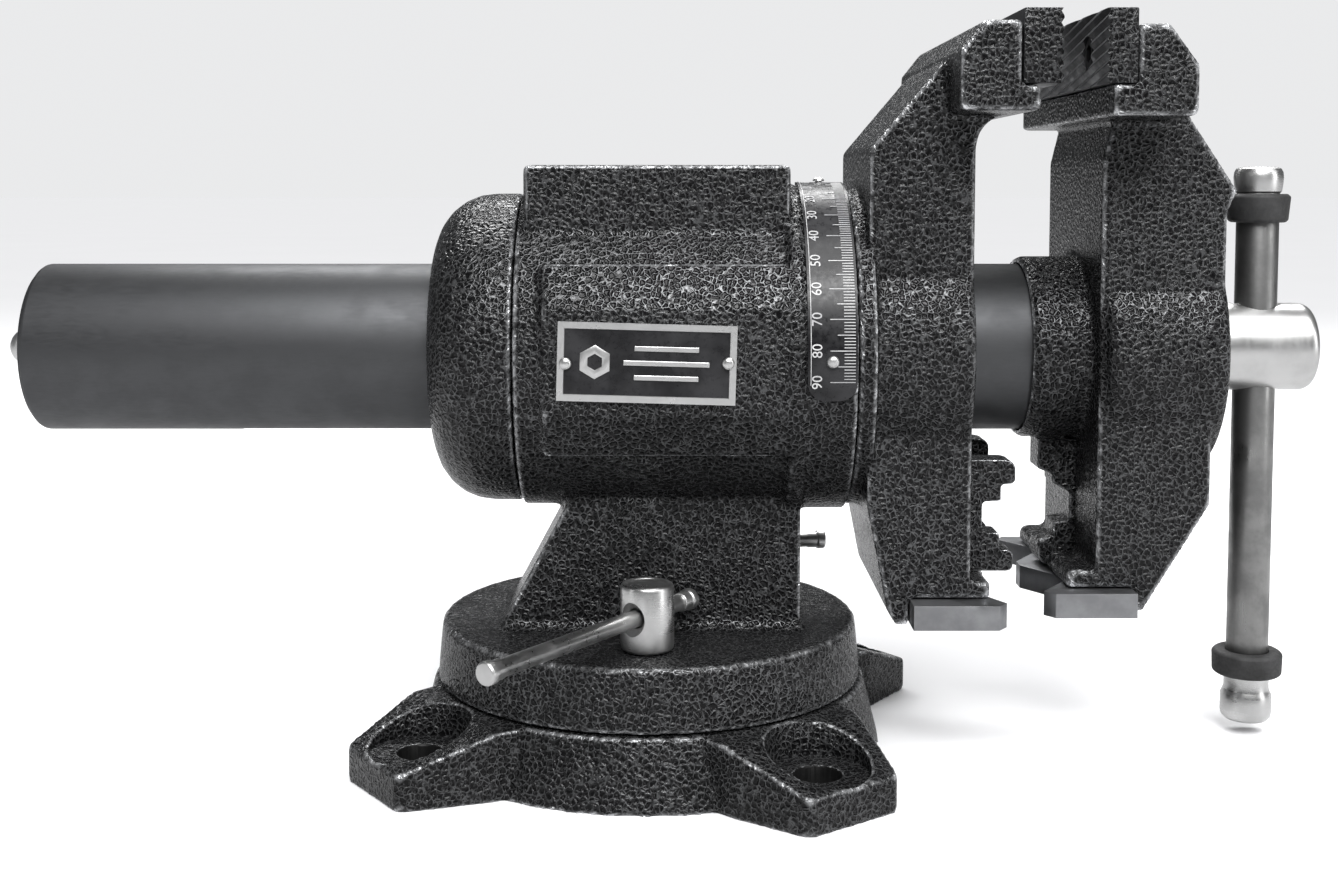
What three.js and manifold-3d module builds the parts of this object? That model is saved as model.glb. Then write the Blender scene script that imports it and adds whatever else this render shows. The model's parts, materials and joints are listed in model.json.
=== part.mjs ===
// Rotating multi-purpose bench vise: flat jaws above the slide, pipe jaws and vee plates below it.
// Millimetres. +X runs along the spindle towards the handle, +Y to the back, +Z up.
// The origin is on the swivel axis, in the bench plane.
import * as THREE from 'three';
import { mergeVertices } from 'three/addons/utils/BufferGeometryUtils.js';
import Module from 'manifold-3d';

const wasm = await Module();
wasm.setup();

// ---------------------------------------------------------------- driving dimensions
const GAP = 0.3; // between pieces that touch
const SLIDE_FIT = 0.4; // round the slide tube
const JAW_WIDTH = 125;
const AXIS_HEIGHT = 130.8; // spindle axis above the bench

// base
const BASE_RADIUS = 77;
const BASE_TAPER = 5.5;
const BASE_HEIGHT = 21.5;
const LUG_COUNT = 4;
const LUG_ANGLE = 36;
const LUG_LENGTH = 26; // past the foot of the base
const LUG_END_HALF = 17.3;
const LUG_ROOT_HALF = 28;
const LUG_END_HEIGHT = 11;
const LUG_HOLE_RADIUS = 7;
const LUG_HOLE_EDGE = 16.7; // hole centre to the flat end
const SPOTFACE_RADIUS = 15.7;
const SPOTFACE_DEPTH = 0.6;
const SLOT_RADIUS = 48;
const SLOT_NECK = 9.6;
const SLOT_WIDTH = 17;
const SLOT_FLOOR = 5;
const SLOT_LIP = 8.5;
const PIVOT_RADIUS = 8;
const PIVOT_LENGTH = 30.5;

// swivel locks
const BOLT_RADIUS = 4.5;
const BOLT_HEAD = 14.6;
const LOCK_NUT_RADIUS = 8.3;
const LOCK_NUT_HEIGHT = 20.7;
const LOCK_BAR_RADIUS = 2.6;
const LOCK_BAR_RISE = 10.8; // bar axis above the foot of its nut
const LOCK_KNOB_RADIUS = 3.4;
const LOCK_KNOB_LENGTH = 7;
const FRONT_BAR_ANGLE = 235.3;
const FRONT_BAR_OUTER = 75.9;
const FRONT_BAR_INNER = 24.3;
const REAR_BAR_ANGLE = 10.5;
const REAR_BAR_OUTER = 65.8;
const REAR_BAR_INNER = 34.2;

// body casting
const PLATE_RADIUS = 70.4;
const PLATE_TAPER = 2.6;
const PLATE_THICKNESS = 19.7;
const POST_HALF = 24;
const POST_FRONT = 49;
const POST_REAR = -48;
const POST_SHOULDER = -24;
const POST_SHOULDER_HEIGHT = 44.5;
const HOUSING_WALL = 13.7;
const HOUSING_FRONT = 64;
const HOUSING_REAR = -41;
const SCALE_WIDTH = 16;
const SCALE_STEP = 1.4;
const RIB_WIDTH = 5;
const RIB_STEP = 2.2;
const ANVIL_RISE = 7.8; // above the housing
const ANVIL_HALF = 35;
const ANVIL_REAR = -38.7;
const ANVIL_FRONT = 44.6;
const PAD_RISE = 1;
const PAD_REAR = -32;
const PAD_HALF = 16;
const PAD_SLOPE = 14;
const CAP_LENGTH = 28.2;
const CAP_STEP = 1.2;
const CAP_CORNER = 19;
const CAP_SPIGOT_LENGTH = 8.2;
const CAP_SPIGOT_WALL = 4;
const RING_POCKET_WALL = 6;
const RING_POCKET_DEPTH = 14;

// plates on the housing
const NAMEPLATE_LENGTH = 54;
const NAMEPLATE_HEIGHT = 24;
const NAMEPLATE_TILT = 1.6;
const PLATE_STOCK = 1;
const RIVET_RADIUS = 1.9;
const RIVET_SHANK = 1.1;
const RIVET_LENGTH = 4.5;
const RIVET_RISE = 1.2;
const RIVET_EDGE = 2.5; // rivet to the nameplate's end
const SCALE_LOW_ANGLE = -12;
const SCALE_HIGH_ANGLE = 96;
const SCALE_RIVET_ANGLES = [0.5, 88];
const SCALE_MARGIN = 0.5; // bare strip along each edge of the scale

// head lock, on the back of the housing
const HEAD_LOCK_X = 6;
const HEAD_LOCK_RADIUS = 6;
const HEAD_LOCK_BOSS = 13;
const HEAD_LOCK_BOSS_RISE = 8;
const HEAD_LOCK_STANDOFF = 5;
const HEAD_PAD_THICKNESS = 4;
const HEAD_BAR_HALF = 38;

// slide tube and what turns round it
const TUBE_RADIUS = 27.5;
const TUBE_WALL = 5.5;
const TUBE_REAR = -200;
const TUBE_SEAT_DEPTH = 26; // tube's front end to the moving jaw's back
const TUBE_PIN_STEP = 6; // pin behind the tube's front end
const TUBE_PIN_RADIUS = 3;
const BARREL_WALL = 10.1;
const RETAINER_THICKNESS = 5;
const RETAINER_SCREWS = 3;
const RETAINER_SCREW_RADIUS = 2;
const RETAINER_SCREW_HEAD = 3.5;
const RETAINER_HEAD_LENGTH = 2.5;
const TUBE_CAP_FLANGE = 3;
const TUBE_CAP_PLUG = 10;
const PLUG_SCREW_RADIUS = 6.3;
const PLUG_SCREW_SHANK = 3;
const PLUG_SCREW_RISE = 9;

// fixed jaw
const FIXED_FACE = 101;
const FIXED_BACK = 68.4;
const FIXED_SEAT_STEP = 9; // jaw head seat in front of the face below it
const HUB_FRONT = 70;
const FIXED_BOSS_WALL = 9;
const FIXED_NECK_HALF = 40;
const THROAT_HEIGHT = 75.2; // underside of the jaw head above the axis
const HEAD_HEIGHT = 26.5;
const INSERT_HEIGHT = 22;
const INSERT_STEP = 8; // insert's foot above the underside of the head
const FIXED_INSERT_THICKNESS = 11.7;
const INSERT_SCREW_Y = 38;
const INSERT_SCREW_DROP = 0.5; // below the middle of the insert
const INSERT_SCREW_RADIUS = 3;
const INSERT_SCREW_HEAD = 5;
const INSERT_HEAD_LENGTH = 3.9;
const INSERT_HEAD_SINK = 0.8; // below the working face
const FIXED_INSERT_SCREW_LENGTH = 24;
const MOVING_INSERT_SCREW_LENGTH = 21;

// moving jaw
const JAW_OPENING = 12.5;
const MOVING_FACE_STEP = 3; // jaw head seat behind the face below it
const MOVING_INSERT_THICKNESS = 9.2;
const MOVING_NECK_HALF = 36;
const MOVING_BODY_LENGTH = 37; // jaw head seat to the back face
const COLLAR_WALL = 2.5;
const COLLAR_LENGTH = 23;
const MOVING_BOSS_WALL = 14;

// pipe jaws and vee plates
const PIPE_CENTRE_DROP = 24.9; // below the slide tube
const FORK_TOP = 18.6; // teeth above and below the pipe centre
const FORK_FOOT = 17.3;
const FORK_HALF = 27.5;
const FORK_PLATE = 11;
const FORK_WEB = 3.2;
const FORK_SCREW_RADIUS = 2.5;
const FORK_SCREW_HEAD = 4.5;
const FORK_HEAD_LENGTH = 1.5;
const TONGUE_HALF = 6.4;
const TONGUE_FOOT = 20.2;
const TONGUE_ROOT = 9; // depth of its groove in the moving jaw
const TONGUE_PIN_RADIUS = 3;
const TONGUE_PIN_NEAR = -12;
const VEE_THICKNESS = 7.7;
const VEE_DROP = 31.1; // bottom face below the pipe centre
const VEE_LENGTH = 29.5;
const VEE_REACH = 10.6; // fixed plate in front of the fixed face
const MOVING_VEE_STEP = 0.1; // moving plate beyond the jaw opening
const MOVING_VEE_LIFT = 2.4;
const MOVING_VEE_CUT = 1; // moving plate is that much shorter
const FIXED_VEE_SCREW_STEP = 8; // screws from the back edge
const MOVING_VEE_SCREW_STEP = 9;
const VEE_SCREW_RADIUS = 2.5;
const VEE_SCREW_HEAD = 4.4;
const VEE_HEAD_LENGTH = 3;
const FOOT_REACH = 9; // ledge in front of the moving jaw face
const LEDGE_HEIGHT = 5.7; // jaw casting above its vee plate
const VEE_NOTCH_DEPTH = 12;
const VEE_NOTCH_Y = 21;
const FIXED_VEE_HALF = 47.7;
const MOVING_VEE_HALF = 42;
const VEE_SCREW_Y = 30;

// spindle and handle
const SPINDLE_RADIUS = 11;
const SPINDLE_HEAD_RADIUS = 14.5;
const SPINDLE_HEAD_LENGTH = 36;
const SPINDLE_TAIL = -160;
const WASHER_THICKNESS = 1.4;
const COLLAR_THICKNESS = 7.4;
const STOP_WALL_GAP = 4; // stop collar to the tube's bore
const STOP_PIN_RADIUS = 2;
const NUT_LENGTH = 40;
const NUT_CENTRE = -15;
const KEY_LENGTH = 12;
const KEY_WIDTH = 12;
const KEY_DEPTH = 6; // into the nut
const TRAVEL_OPEN = 112;
const TRAVEL_CLOSED = 12;
const HANDLE_RADIUS = 6.8;
const HANDLE_PLACE = 19; // handle axis from the shoulder of the spindle head
const HANDLE_UP = 59.8;
const HANDLE_DOWN = 126.8;
const TOP_BAR_SINK = 3; // end of the bar inside its knob
const BOTTOM_BAR_SINK = 5;
const KNOB_STEP = 1.5; // knob beyond the bar
const TOP_KNOB_LENGTH = 8.6;
const BOTTOM_KNOB_LENGTH = 15.5;
const TOP_RING_WALL = 3.5;
const TOP_RING_LENGTH = 9.4;
const BOTTOM_RING_WALL = 4.6;
const BOTTOM_RING_LENGTH = 8;

// sides of a turned piece
const SIDES_LARGE = 44;
const SIDES_MIDDLE = 36;
const SIDES_SMALL = 20;
const SIDES_FINE_PIECE = 12;
const SIDES_SCREW = 8;

// ---------------------------------------------------------------- sizes that follow
const plateFoot = BASE_HEIGHT + GAP;
const plateTop = plateFoot + PLATE_THICKNESS;
const lugEnd = BASE_RADIUS + LUG_LENGTH;
const lugHoleReach = lugEnd - LUG_HOLE_EDGE;
const tubeBore = TUBE_RADIUS + SLIDE_FIT;
const barrelRadius = tubeBore + BARREL_WALL;
const housingBore = barrelRadius + GAP;
const housingRadius = housingBore + HOUSING_WALL;
const scaleRadius = housingRadius + SCALE_STEP;
const scaleRear = HOUSING_FRONT - SCALE_WIDTH;
const padFace = housingRadius + PAD_RISE;
const pocketRadius = housingRadius - RING_POCKET_WALL;
const barrelRear = HOUSING_REAR + RING_POCKET_DEPTH;
const pipeCentre = -(TUBE_RADIUS + PIPE_CENTRE_DROP);
const veeBottom = pipeCentre - VEE_DROP;
const veeTop = veeBottom + VEE_THICKNESS;
const fixedSeat = FIXED_FACE + FIXED_SEAT_STEP;
const fixedInsertFace = fixedSeat + GAP + FIXED_INSERT_THICKNESS;
const movingInsertFace = fixedInsertFace + JAW_OPENING;
const movingSeat = movingInsertFace + MOVING_INSERT_THICKNESS + GAP;
const movingFace = movingSeat - MOVING_FACE_STEP;
const movingBack = movingSeat + MOVING_BODY_LENGTH;
const collarRadius = TUBE_RADIUS + COLLAR_WALL;
const collarFront = movingSeat - COLLAR_LENGTH;
const movingBoss = TUBE_RADIUS + MOVING_BOSS_WALL;
const spindleBore = SPINDLE_RADIUS + SLIDE_FIT;
const tubeFront = movingBack - TUBE_SEAT_DEPTH;
const tubeInner = TUBE_RADIUS - TUBE_WALL;
const tubeSeat = tubeFront + GAP;
const tubePinX = tubeFront - TUBE_PIN_STEP;
const tubePinHole = TUBE_PIN_RADIUS + GAP;
const plugShankHole = PLUG_SCREW_SHANK + GAP;
const spindleShoulder = movingBack + WASHER_THICKNESS + 2 * GAP;
const lockBarHole = LOCK_BAR_RADIUS + GAP;
const jawTop = THROAT_HEIGHT + HEAD_HEIGHT;
const insertFoot = THROAT_HEIGHT + INSERT_STEP;
const insertMiddle = insertFoot + INSERT_HEIGHT / 2 - INSERT_SCREW_DROP;
const insertScrewHole = INSERT_SCREW_RADIUS + GAP;
const insertHeadHole = INSERT_SCREW_HEAD + GAP;
const forkScrewHole = FORK_SCREW_RADIUS + GAP;
const tongueBack = movingFace + TONGUE_ROOT;
const tonguePinX = movingFace + TONGUE_ROOT / 2;
const tonguePinHole = TONGUE_PIN_RADIUS + GAP;
const fixedVeeFront = FIXED_FACE + VEE_REACH;
const fixedVeeScrewX = fixedVeeFront - VEE_LENGTH + FIXED_VEE_SCREW_STEP;
const movingVeeFront = fixedVeeFront + JAW_OPENING + MOVING_VEE_STEP;
const movingVeeBack = movingVeeFront + VEE_LENGTH - MOVING_VEE_CUT;
const movingVeeScrewX = movingVeeFront + VEE_LENGTH - MOVING_VEE_SCREW_STEP;
const veeScrewHole = VEE_SCREW_RADIUS + GAP;
const plateRivetX = NAMEPLATE_LENGTH / 2 - RIVET_EDGE;
const rivetHole = RIVET_SHANK + GAP;
const scaleMiddle = scaleRear + SCALE_WIDTH / 2;
const retainerScrewRadius = barrelRadius - BARREL_WALL / 2;
const retainerScrewHole = RETAINER_SCREW_RADIUS + GAP;
const stopX = tubeSeat - 2 * GAP - COLLAR_THICKNESS / 2;
const stopRadius = tubeInner - STOP_WALL_GAP;
const stopPinHole = STOP_PIN_RADIUS + GAP;
const keyTop = tubeInner - KEY_DEPTH;
const handleX = spindleShoulder + HANDLE_PLACE;
const handleHole = HANDLE_RADIUS + GAP;
const barTop = HANDLE_UP - TOP_BAR_SINK; // from the middle of the cross hole
const barFoot = BOTTOM_BAR_SINK - HANDLE_DOWN;
const knobRadius = HANDLE_RADIUS + KNOB_STEP;

// ---------------------------------------------------------------- finishes
const HAMMERED = { color: 0x1b1c1e, roughness: 0.34, metalness: 0.45 };
const GUNMETAL = { color: 0x2b2c2f, roughness: 0.42, metalness: 0.85 };
const PLATED = { color: 0xb9bbbd, roughness: 0.25, metalness: 1 };
const MACHINED = { color: 0x6f7275, roughness: 0.4, metalness: 0.95 };
const HARDENED = { color: 0x35373a, roughness: 0.45, metalness: 0.8 };
const BLACKED = { color: 0x18191b, roughness: 0.5, metalness: 0.6 };
const BRONZE = { color: 0x8c6a3a, roughness: 0.4, metalness: 0.9 };
const RUBBER = { color: 0x222224, roughness: 0.85, metalness: 0 };
const PRINTED = { color: 0x0d0e10, roughness: 0.4, metalness: 0.2 };

// ---------------------------------------------------------------- solids
function solidOf(geometry) {
  const bare = geometry.clone();
  bare.deleteAttribute('normal');
  bare.deleteAttribute('uv');
  const welded = mergeVertices(bare, 1e-4);
  const place = welded.attributes.position;
  const corner = (i) => new THREE.Vector3().fromBufferAttribute(place, i);
  const faces = [];
  let volume = 0;
  for (let i = 0; i < welded.index.count; i += 3) {
    const [a, b, c] = [0, 1, 2].map((k) => welded.index.getX(i + k));
    if (a !== b && b !== c && c !== a) {
      faces.push([a, b, c]);
      volume += corner(a).dot(corner(b).cross(corner(c)));
    }
  }
  const turned = volume > 0 ? faces : faces.map(([a, b, c]) => [a, c, b]);
  const vertProperties = new Float32Array(place.array);
  const triVerts = new Uint32Array(turned.flat());
  return new wasm.Manifold(new wasm.Mesh({ numProp: 3, vertProperties, triVerts }));
}

function geometryOf(solid) {
  const { vertProperties, triVerts } = solid.getMesh();
  const geometry = new THREE.BufferGeometry();
  geometry.setAttribute('position', new THREE.BufferAttribute(vertProperties, 3));
  geometry.setIndex(new THREE.BufferAttribute(triVerts, 1));
  geometry.computeVertexNormals();
  return geometry;
}

const join = (...solids) => solids.reduce((whole, solid) => whole.add(solid));
const cut = (whole, ...tools) => tools.reduce((rest, tool) => rest.subtract(tool), whole);

function block(x0, x1, y0, y1, z0, z1) {
  const box = new THREE.BoxGeometry(x1 - x0, y1 - y0, z1 - z0);
  box.translate((x0 + x1) / 2, (y0 + y1) / 2, (z0 + z1) / 2);
  return solidOf(box);
}

// profiles are [radius, place along the axis] and run from the axis back to it, or close on themselves
function turnedGeometry(profile, sides) {
  return new THREE.LatheGeometry(profile.map(([r, s]) => new THREE.Vector2(r, s)), sides);
}

function turnX(profile, sides = SIDES_SMALL, y = 0, z = 0) {
  return solidOf(turnedGeometry(profile, sides).rotateZ(-Math.PI / 2).translate(0, y, z));
}

function turnY(profile, sides = SIDES_SMALL, x = 0, z = 0) {
  return solidOf(turnedGeometry(profile, sides).translate(x, 0, z));
}

function turnZ(profile, sides = SIDES_SMALL, x = 0, y = 0) {
  return solidOf(turnedGeometry(profile, sides).rotateX(Math.PI / 2).translate(x, y, 0));
}

const bar = (radius, from, to) => [[0, from], [radius, from], [radius, to], [0, to]];
const washer = (inner, outer, from, to) => [
  [inner, from],
  [outer, from],
  [outer, to],
  [inner, to],
  [inner, from],
];
const rounded = (radius, from, to, edge) => [
  [0, from],
  [radius - edge, from],
  [radius - 0.3 * edge, from + 0.3 * edge],
  [radius, from + edge],
  [radius, to - edge],
  [radius - 0.3 * edge, to - 0.3 * edge],
  [radius - edge, to],
  [0, to],
];

// corners are [u, v] or [u, v, fillet radius]
function outline(corners, steps = 4) {
  const points = corners.flatMap(([u, v, radius = 0], i) => {
    const here = new THREE.Vector2(u, v);
    if (radius === 0) return [here];
    const [pu, pv] = corners.at(i - 1);
    const [nu, nv] = corners[(i + 1) % corners.length];
    const back = new THREE.Vector2(pu - u, pv - v).normalize();
    const ahead = new THREE.Vector2(nu - u, nv - v).normalize();
    const half = Math.acos(back.dot(ahead)) / 2;
    const middle = back.clone().add(ahead).normalize();
    const centre = middle.multiplyScalar(radius / Math.sin(half)).add(here);
    const start = back.multiplyScalar(radius / Math.tan(half)).add(here).sub(centre);
    const end = ahead.multiplyScalar(radius / Math.tan(half)).add(here).sub(centre);
    const sweep = Math.atan2(start.cross(end), start.dot(end));
    const turn = (k) => start.clone().rotateAround(new THREE.Vector2(), (sweep * k) / steps);
    return Array.from({ length: steps + 1 }, (_, k) => turn(k).add(centre));
  });
  return new THREE.Shape(points);
}

function extruded(corners, depth) {
  return new THREE.ExtrudeGeometry(outline(corners), { depth, bevelEnabled: false });
}

// an outline in X and Z, from y0 to y1
function prismY(corners, y0, y1) {
  return solidOf(extruded(corners, y1 - y0).rotateX(Math.PI / 2).translate(0, y1, 0));
}

// an outline in X and Y, from z0 to z1
function prismZ(corners, z0, z1) {
  return solidOf(extruded(corners, z1 - z0).translate(0, 0, z0));
}

// an outline in Y and Z, from x0 to x1
function prismX(corners, x0, x1) {
  const axes = [new THREE.Vector3(0, 1, 0), new THREE.Vector3(0, 0, 1), new THREE.Vector3(1, 0, 0)];
  const turn = new THREE.Matrix4().makeBasis(...axes);
  return solidOf(extruded(corners, x1 - x0).applyMatrix4(turn).translate(x0, 0, 0));
}

function part(name, solid, finish) {
  const mesh = new THREE.Mesh(geometryOf(solid), new THREE.MeshStandardMaterial(finish));
  mesh.name = name;
  return mesh;
}

function groupOf(...members) {
  const group = new THREE.Group();
  group.add(...members);
  return group;
}

// ---------------------------------------------------------------- base
function lug(index) {
  const root = BASE_RADIUS - BASE_TAPER - 8;
  const plan = [
    [root, -LUG_ROOT_HALF],
    [BASE_RADIUS, -LUG_ROOT_HALF + 2],
    [lugEnd, -LUG_END_HALF, 3],
    [lugEnd, LUG_END_HALF, 3],
    [BASE_RADIUS, LUG_ROOT_HALF - 2],
    [root, LUG_ROOT_HALF],
  ];
  const side = [
    [root, 0],
    [lugEnd, 0],
    [lugEnd, LUG_END_HEIGHT],
    [BASE_RADIUS - 2, BASE_HEIGHT - 0.7],
    [root, BASE_HEIGHT - 0.7],
  ];
  const solid = prismZ(plan, 0, BASE_HEIGHT).intersect(prismY(side, -LUG_ROOT_HALF, LUG_ROOT_HALF));
  return solid.rotate([0, 0, LUG_ANGLE + (index * 360) / LUG_COUNT]);
}

function lugHole(index) {
  const seat = LUG_END_HEIGHT - SPOTFACE_DEPTH;
  const hole = [
    [0, -1],
    [LUG_HOLE_RADIUS, -1],
    [LUG_HOLE_RADIUS, seat],
    [SPOTFACE_RADIUS, seat],
    [SPOTFACE_RADIUS, BASE_HEIGHT + 1],
    [0, BASE_HEIGHT + 1],
  ];
  return turnZ(hole, SIDES_SMALL, lugHoleReach).rotate([0, 0, LUG_ANGLE + (index * 360) / LUG_COUNT]);
}

function baseCasting() {
  const neck = SLOT_NECK / 2;
  const wide = SLOT_WIDTH / 2;
  const lip = BASE_HEIGHT - SLOT_LIP;
  const ring = turnZ(
    [
      [0, 0],
      [BASE_RADIUS, 0],
      [BASE_RADIUS - BASE_TAPER, BASE_HEIGHT],
      [SLOT_RADIUS + neck, BASE_HEIGHT],
      [SLOT_RADIUS + neck, lip],
      [SLOT_RADIUS + wide, lip],
      [SLOT_RADIUS + wide, SLOT_FLOOR],
      [SLOT_RADIUS - wide, SLOT_FLOOR],
      [SLOT_RADIUS - wide, lip],
      [SLOT_RADIUS - neck, lip],
      [SLOT_RADIUS - neck, BASE_HEIGHT],
      [PIVOT_RADIUS + GAP, BASE_HEIGHT],
      [PIVOT_RADIUS + GAP, SLOT_FLOOR],
      [0, SLOT_FLOOR],
    ],
    SIDES_LARGE,
  );
  const turns = Array.from({ length: LUG_COUNT }, (_, i) => i);
  const entry = BOLT_HEAD / 2 + 1;
  const pocket = block(SLOT_RADIUS - wide, SLOT_RADIUS + wide, -entry, entry, SLOT_FLOOR, BASE_HEIGHT + 1);
  return cut(join(ring, ...turns.map(lug)), ...turns.map(lugHole), pocket);
}

function pivotPin() {
  return turnZ(rounded(PIVOT_RADIUS, SLOT_FLOOR + GAP, SLOT_FLOOR + GAP + PIVOT_LENGTH, 1), SIDES_SMALL);
}

// ---------------------------------------------------------------- swivel locks
function tBolt() {
  const half = BOLT_HEAD / 2;
  const top = BASE_HEIGHT - SLOT_LIP - GAP;
  const shankTop = plateTop + GAP + LOCK_BAR_RISE - LOCK_BAR_RADIUS - 2.2;
  const head = block(-half, half, -half, half, SLOT_FLOOR + GAP, top);
  return join(head, turnZ(bar(BOLT_RADIUS, top - 1, shankTop)));
}

function lockNut() {
  const foot = plateTop + GAP;
  const bore = turnZ(bar(BOLT_RADIUS + GAP, foot - 1, foot + LOCK_BAR_RISE - LOCK_BAR_RADIUS - 1.6));
  const body = turnZ(rounded(LOCK_NUT_RADIUS, foot, foot + LOCK_NUT_HEIGHT, 1), SIDES_SMALL);
  const reach = LOCK_NUT_RADIUS + 2;
  return cut(body, bore, turnX(bar(lockBarHole, -reach, reach), SIDES_FINE_PIECE, 0, foot + LOCK_BAR_RISE));
}

// a sliding bar along X with a forged knob on the outer end; the cap closes the inner end
function lockBar(inner, outer) {
  const knobFoot = outer - LOCK_KNOB_LENGTH;
  return turnX(
    [
      [0, -inner + 2.3],
      [LOCK_BAR_RADIUS, -inner + 2.3],
      [LOCK_BAR_RADIUS, knobFoot],
      [LOCK_KNOB_RADIUS - 0.4, knobFoot],
      [LOCK_KNOB_RADIUS, knobFoot + 1],
      [LOCK_KNOB_RADIUS, outer - 1],
      [LOCK_KNOB_RADIUS - 1, outer],
      [0, outer],
    ],
    SIDES_FINE_PIECE,
  );
}

function lockBarCap(inner) {
  const mouth = -inner + LOCK_KNOB_LENGTH;
  return turnX(
    [
      [0, -inner],
      [LOCK_KNOB_RADIUS - 1, -inner],
      [LOCK_KNOB_RADIUS, -inner + 1],
      [LOCK_KNOB_RADIUS, mouth],
      [lockBarHole, mouth],
      [lockBarHole, -inner + 2],
      [0, -inner + 2],
    ],
    SIDES_FINE_PIECE,
  );
}

function lockSet(name, inner, outer) {
  const bars = groupOf(
    part(`${name}_lock_bar`, lockBar(inner, outer), PLATED),
    part(`${name}_lock_bar_cap`, lockBarCap(inner), PLATED),
  );
  bars.position.z = plateTop + GAP + LOCK_BAR_RISE;
  return groupOf(part(`${name}_lock_nut`, lockNut(), PLATED), bars);
}

function swivelLock(name, side, angle, inner, outer) {
  const turning = lockSet(name, inner, outer);
  turning.rotation.z = THREE.MathUtils.degToRad(angle);
  const group = groupOf(part(`${name}_t_bolt`, tBolt(), BLACKED), turning);
  group.position.y = side * SLOT_RADIUS;
  return group;
}

// ---------------------------------------------------------------- body
// everything below is written about the spindle axis, which is at AXIS_HEIGHT
function housing() {
  const barrel = turnX(
    [
      [0, HOUSING_REAR],
      [housingRadius, HOUSING_REAR],
      [housingRadius, scaleRear - RIB_WIDTH],
      [housingRadius + RIB_STEP, scaleRear - RIB_WIDTH + 1],
      [housingRadius + RIB_STEP, scaleRear - 1],
      [scaleRadius, scaleRear],
      [scaleRadius, HOUSING_FRONT],
      [0, HOUSING_FRONT],
    ],
    SIDES_LARGE,
  );
  const shoulder = -housingRadius + PAD_SLOPE / 2;
  const pad = prismX(
    [
      [shoulder, -PAD_HALF - PAD_SLOPE],
      [-padFace, -PAD_HALF],
      [-padFace, PAD_HALF],
      [shoulder, PAD_HALF + PAD_SLOPE],
    ].reverse(),
    PAD_REAR,
    scaleRear - RIB_WIDTH,
  );
  const anvil = block(ANVIL_REAR, ANVIL_FRONT, -ANVIL_HALF, ANVIL_HALF, 0, housingRadius + ANVIL_RISE);
  const bossTop = housingRadius + HEAD_LOCK_BOSS_RISE;
  const boss = turnY(bar(HEAD_LOCK_BOSS, barrelRadius, bossTop), SIDES_SMALL, HEAD_LOCK_X);
  return join(barrel, pad, anvil, boss);
}

function post() {
  const foot = plateTop - AXIS_HEIGHT;
  const corners = [
    [POST_REAR, foot - 1],
    [POST_FRONT, foot - 1],
    [POST_FRONT, -barrelRadius],
    [POST_SHOULDER, -barrelRadius],
    [POST_SHOULDER, foot + POST_SHOULDER_HEIGHT, 8],
    [POST_REAR, foot],
  ];
  return prismY(corners, -POST_HALF, POST_HALF);
}

function bodyCasting() {
  const plate = turnZ(
    [
      [0, plateFoot],
      [PLATE_RADIUS, plateFoot],
      [PLATE_RADIUS - 0.4, plateFoot + 6],
      [PLATE_RADIUS - PLATE_TAPER + 1, plateTop - 1],
      [PLATE_RADIUS - PLATE_TAPER, plateTop],
      [0, plateTop],
    ],
    SIDES_LARGE,
  ).translate([0, 0, -AXIS_HEIGHT]);
  const foot = plateFoot - AXIS_HEIGHT;
  const pinTop = foot + PIVOT_LENGTH - (BASE_HEIGHT - SLOT_FLOOR) + GAP;
  const boltHole = bar(BOLT_RADIUS + 2 * GAP, foot - 1, foot + PLATE_THICKNESS + 1);
  const bolts = [-1, 1].map((side) => turnZ(boltHole, SIDES_FINE_PIECE, 0, side * SLOT_RADIUS));
  const plateRivetHole = bar(rivetHole, -padFace - 1, -padFace + RIVET_LENGTH + 1);
  const rivets = [-1, 1].map((side) => turnY(plateRivetHole, SIDES_SCREW, side * plateRivetX));
  const scaleRivetHole = bar(rivetHole, -scaleRadius - 1, -scaleRadius + RIVET_LENGTH);
  return cut(
    join(plate, post(), housing()),
    turnX(bar(housingBore, HOUSING_REAR - 1, HOUSING_FRONT + 1), SIDES_LARGE),
    turnX(bar(pocketRadius, HOUSING_REAR - 1, barrelRear), SIDES_LARGE),
    turnZ(bar(PIVOT_RADIUS + GAP, foot - 1, pinTop), SIDES_SMALL),
    turnY(bar(HEAD_LOCK_RADIUS + GAP, 0, housingRadius + HEAD_LOCK_BOSS_RISE + 1), SIDES_SMALL, HEAD_LOCK_X),
    ...bolts,
    ...rivets,
    ...SCALE_RIVET_ANGLES.map((angle) => {
      return turnY(scaleRivetHole, SIDES_SCREW, scaleMiddle).rotate([-angle, 0, 0]);
    }),
  );
}

function rearCap() {
  const radius = housingRadius - CAP_STEP;
  const front = HOUSING_REAR - GAP;
  const rear = front - CAP_LENGTH;
  const spigot = pocketRadius - GAP;
  const arc = Array.from({ length: 7 }, (_, k) => {
    const angle = (k * Math.PI) / 12;
    const out = radius - CAP_CORNER + CAP_CORNER * Math.sin(angle);
    return [out, rear + CAP_CORNER - CAP_CORNER * Math.cos(angle)];
  });
  const hole = TUBE_RADIUS + 2 * SLIDE_FIT;
  return turnX(
    [
      [hole, rear],
      ...arc,
      [radius, front],
      [spigot, front],
      [spigot, front + CAP_SPIGOT_LENGTH],
      [spigot - CAP_SPIGOT_WALL, front + CAP_SPIGOT_LENGTH],
      [spigot - CAP_SPIGOT_WALL, rear + CAP_CORNER],
      [hole, rear + CAP_CORNER - 6],
      [hole, rear],
    ],
    SIDES_LARGE,
  );
}

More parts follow.
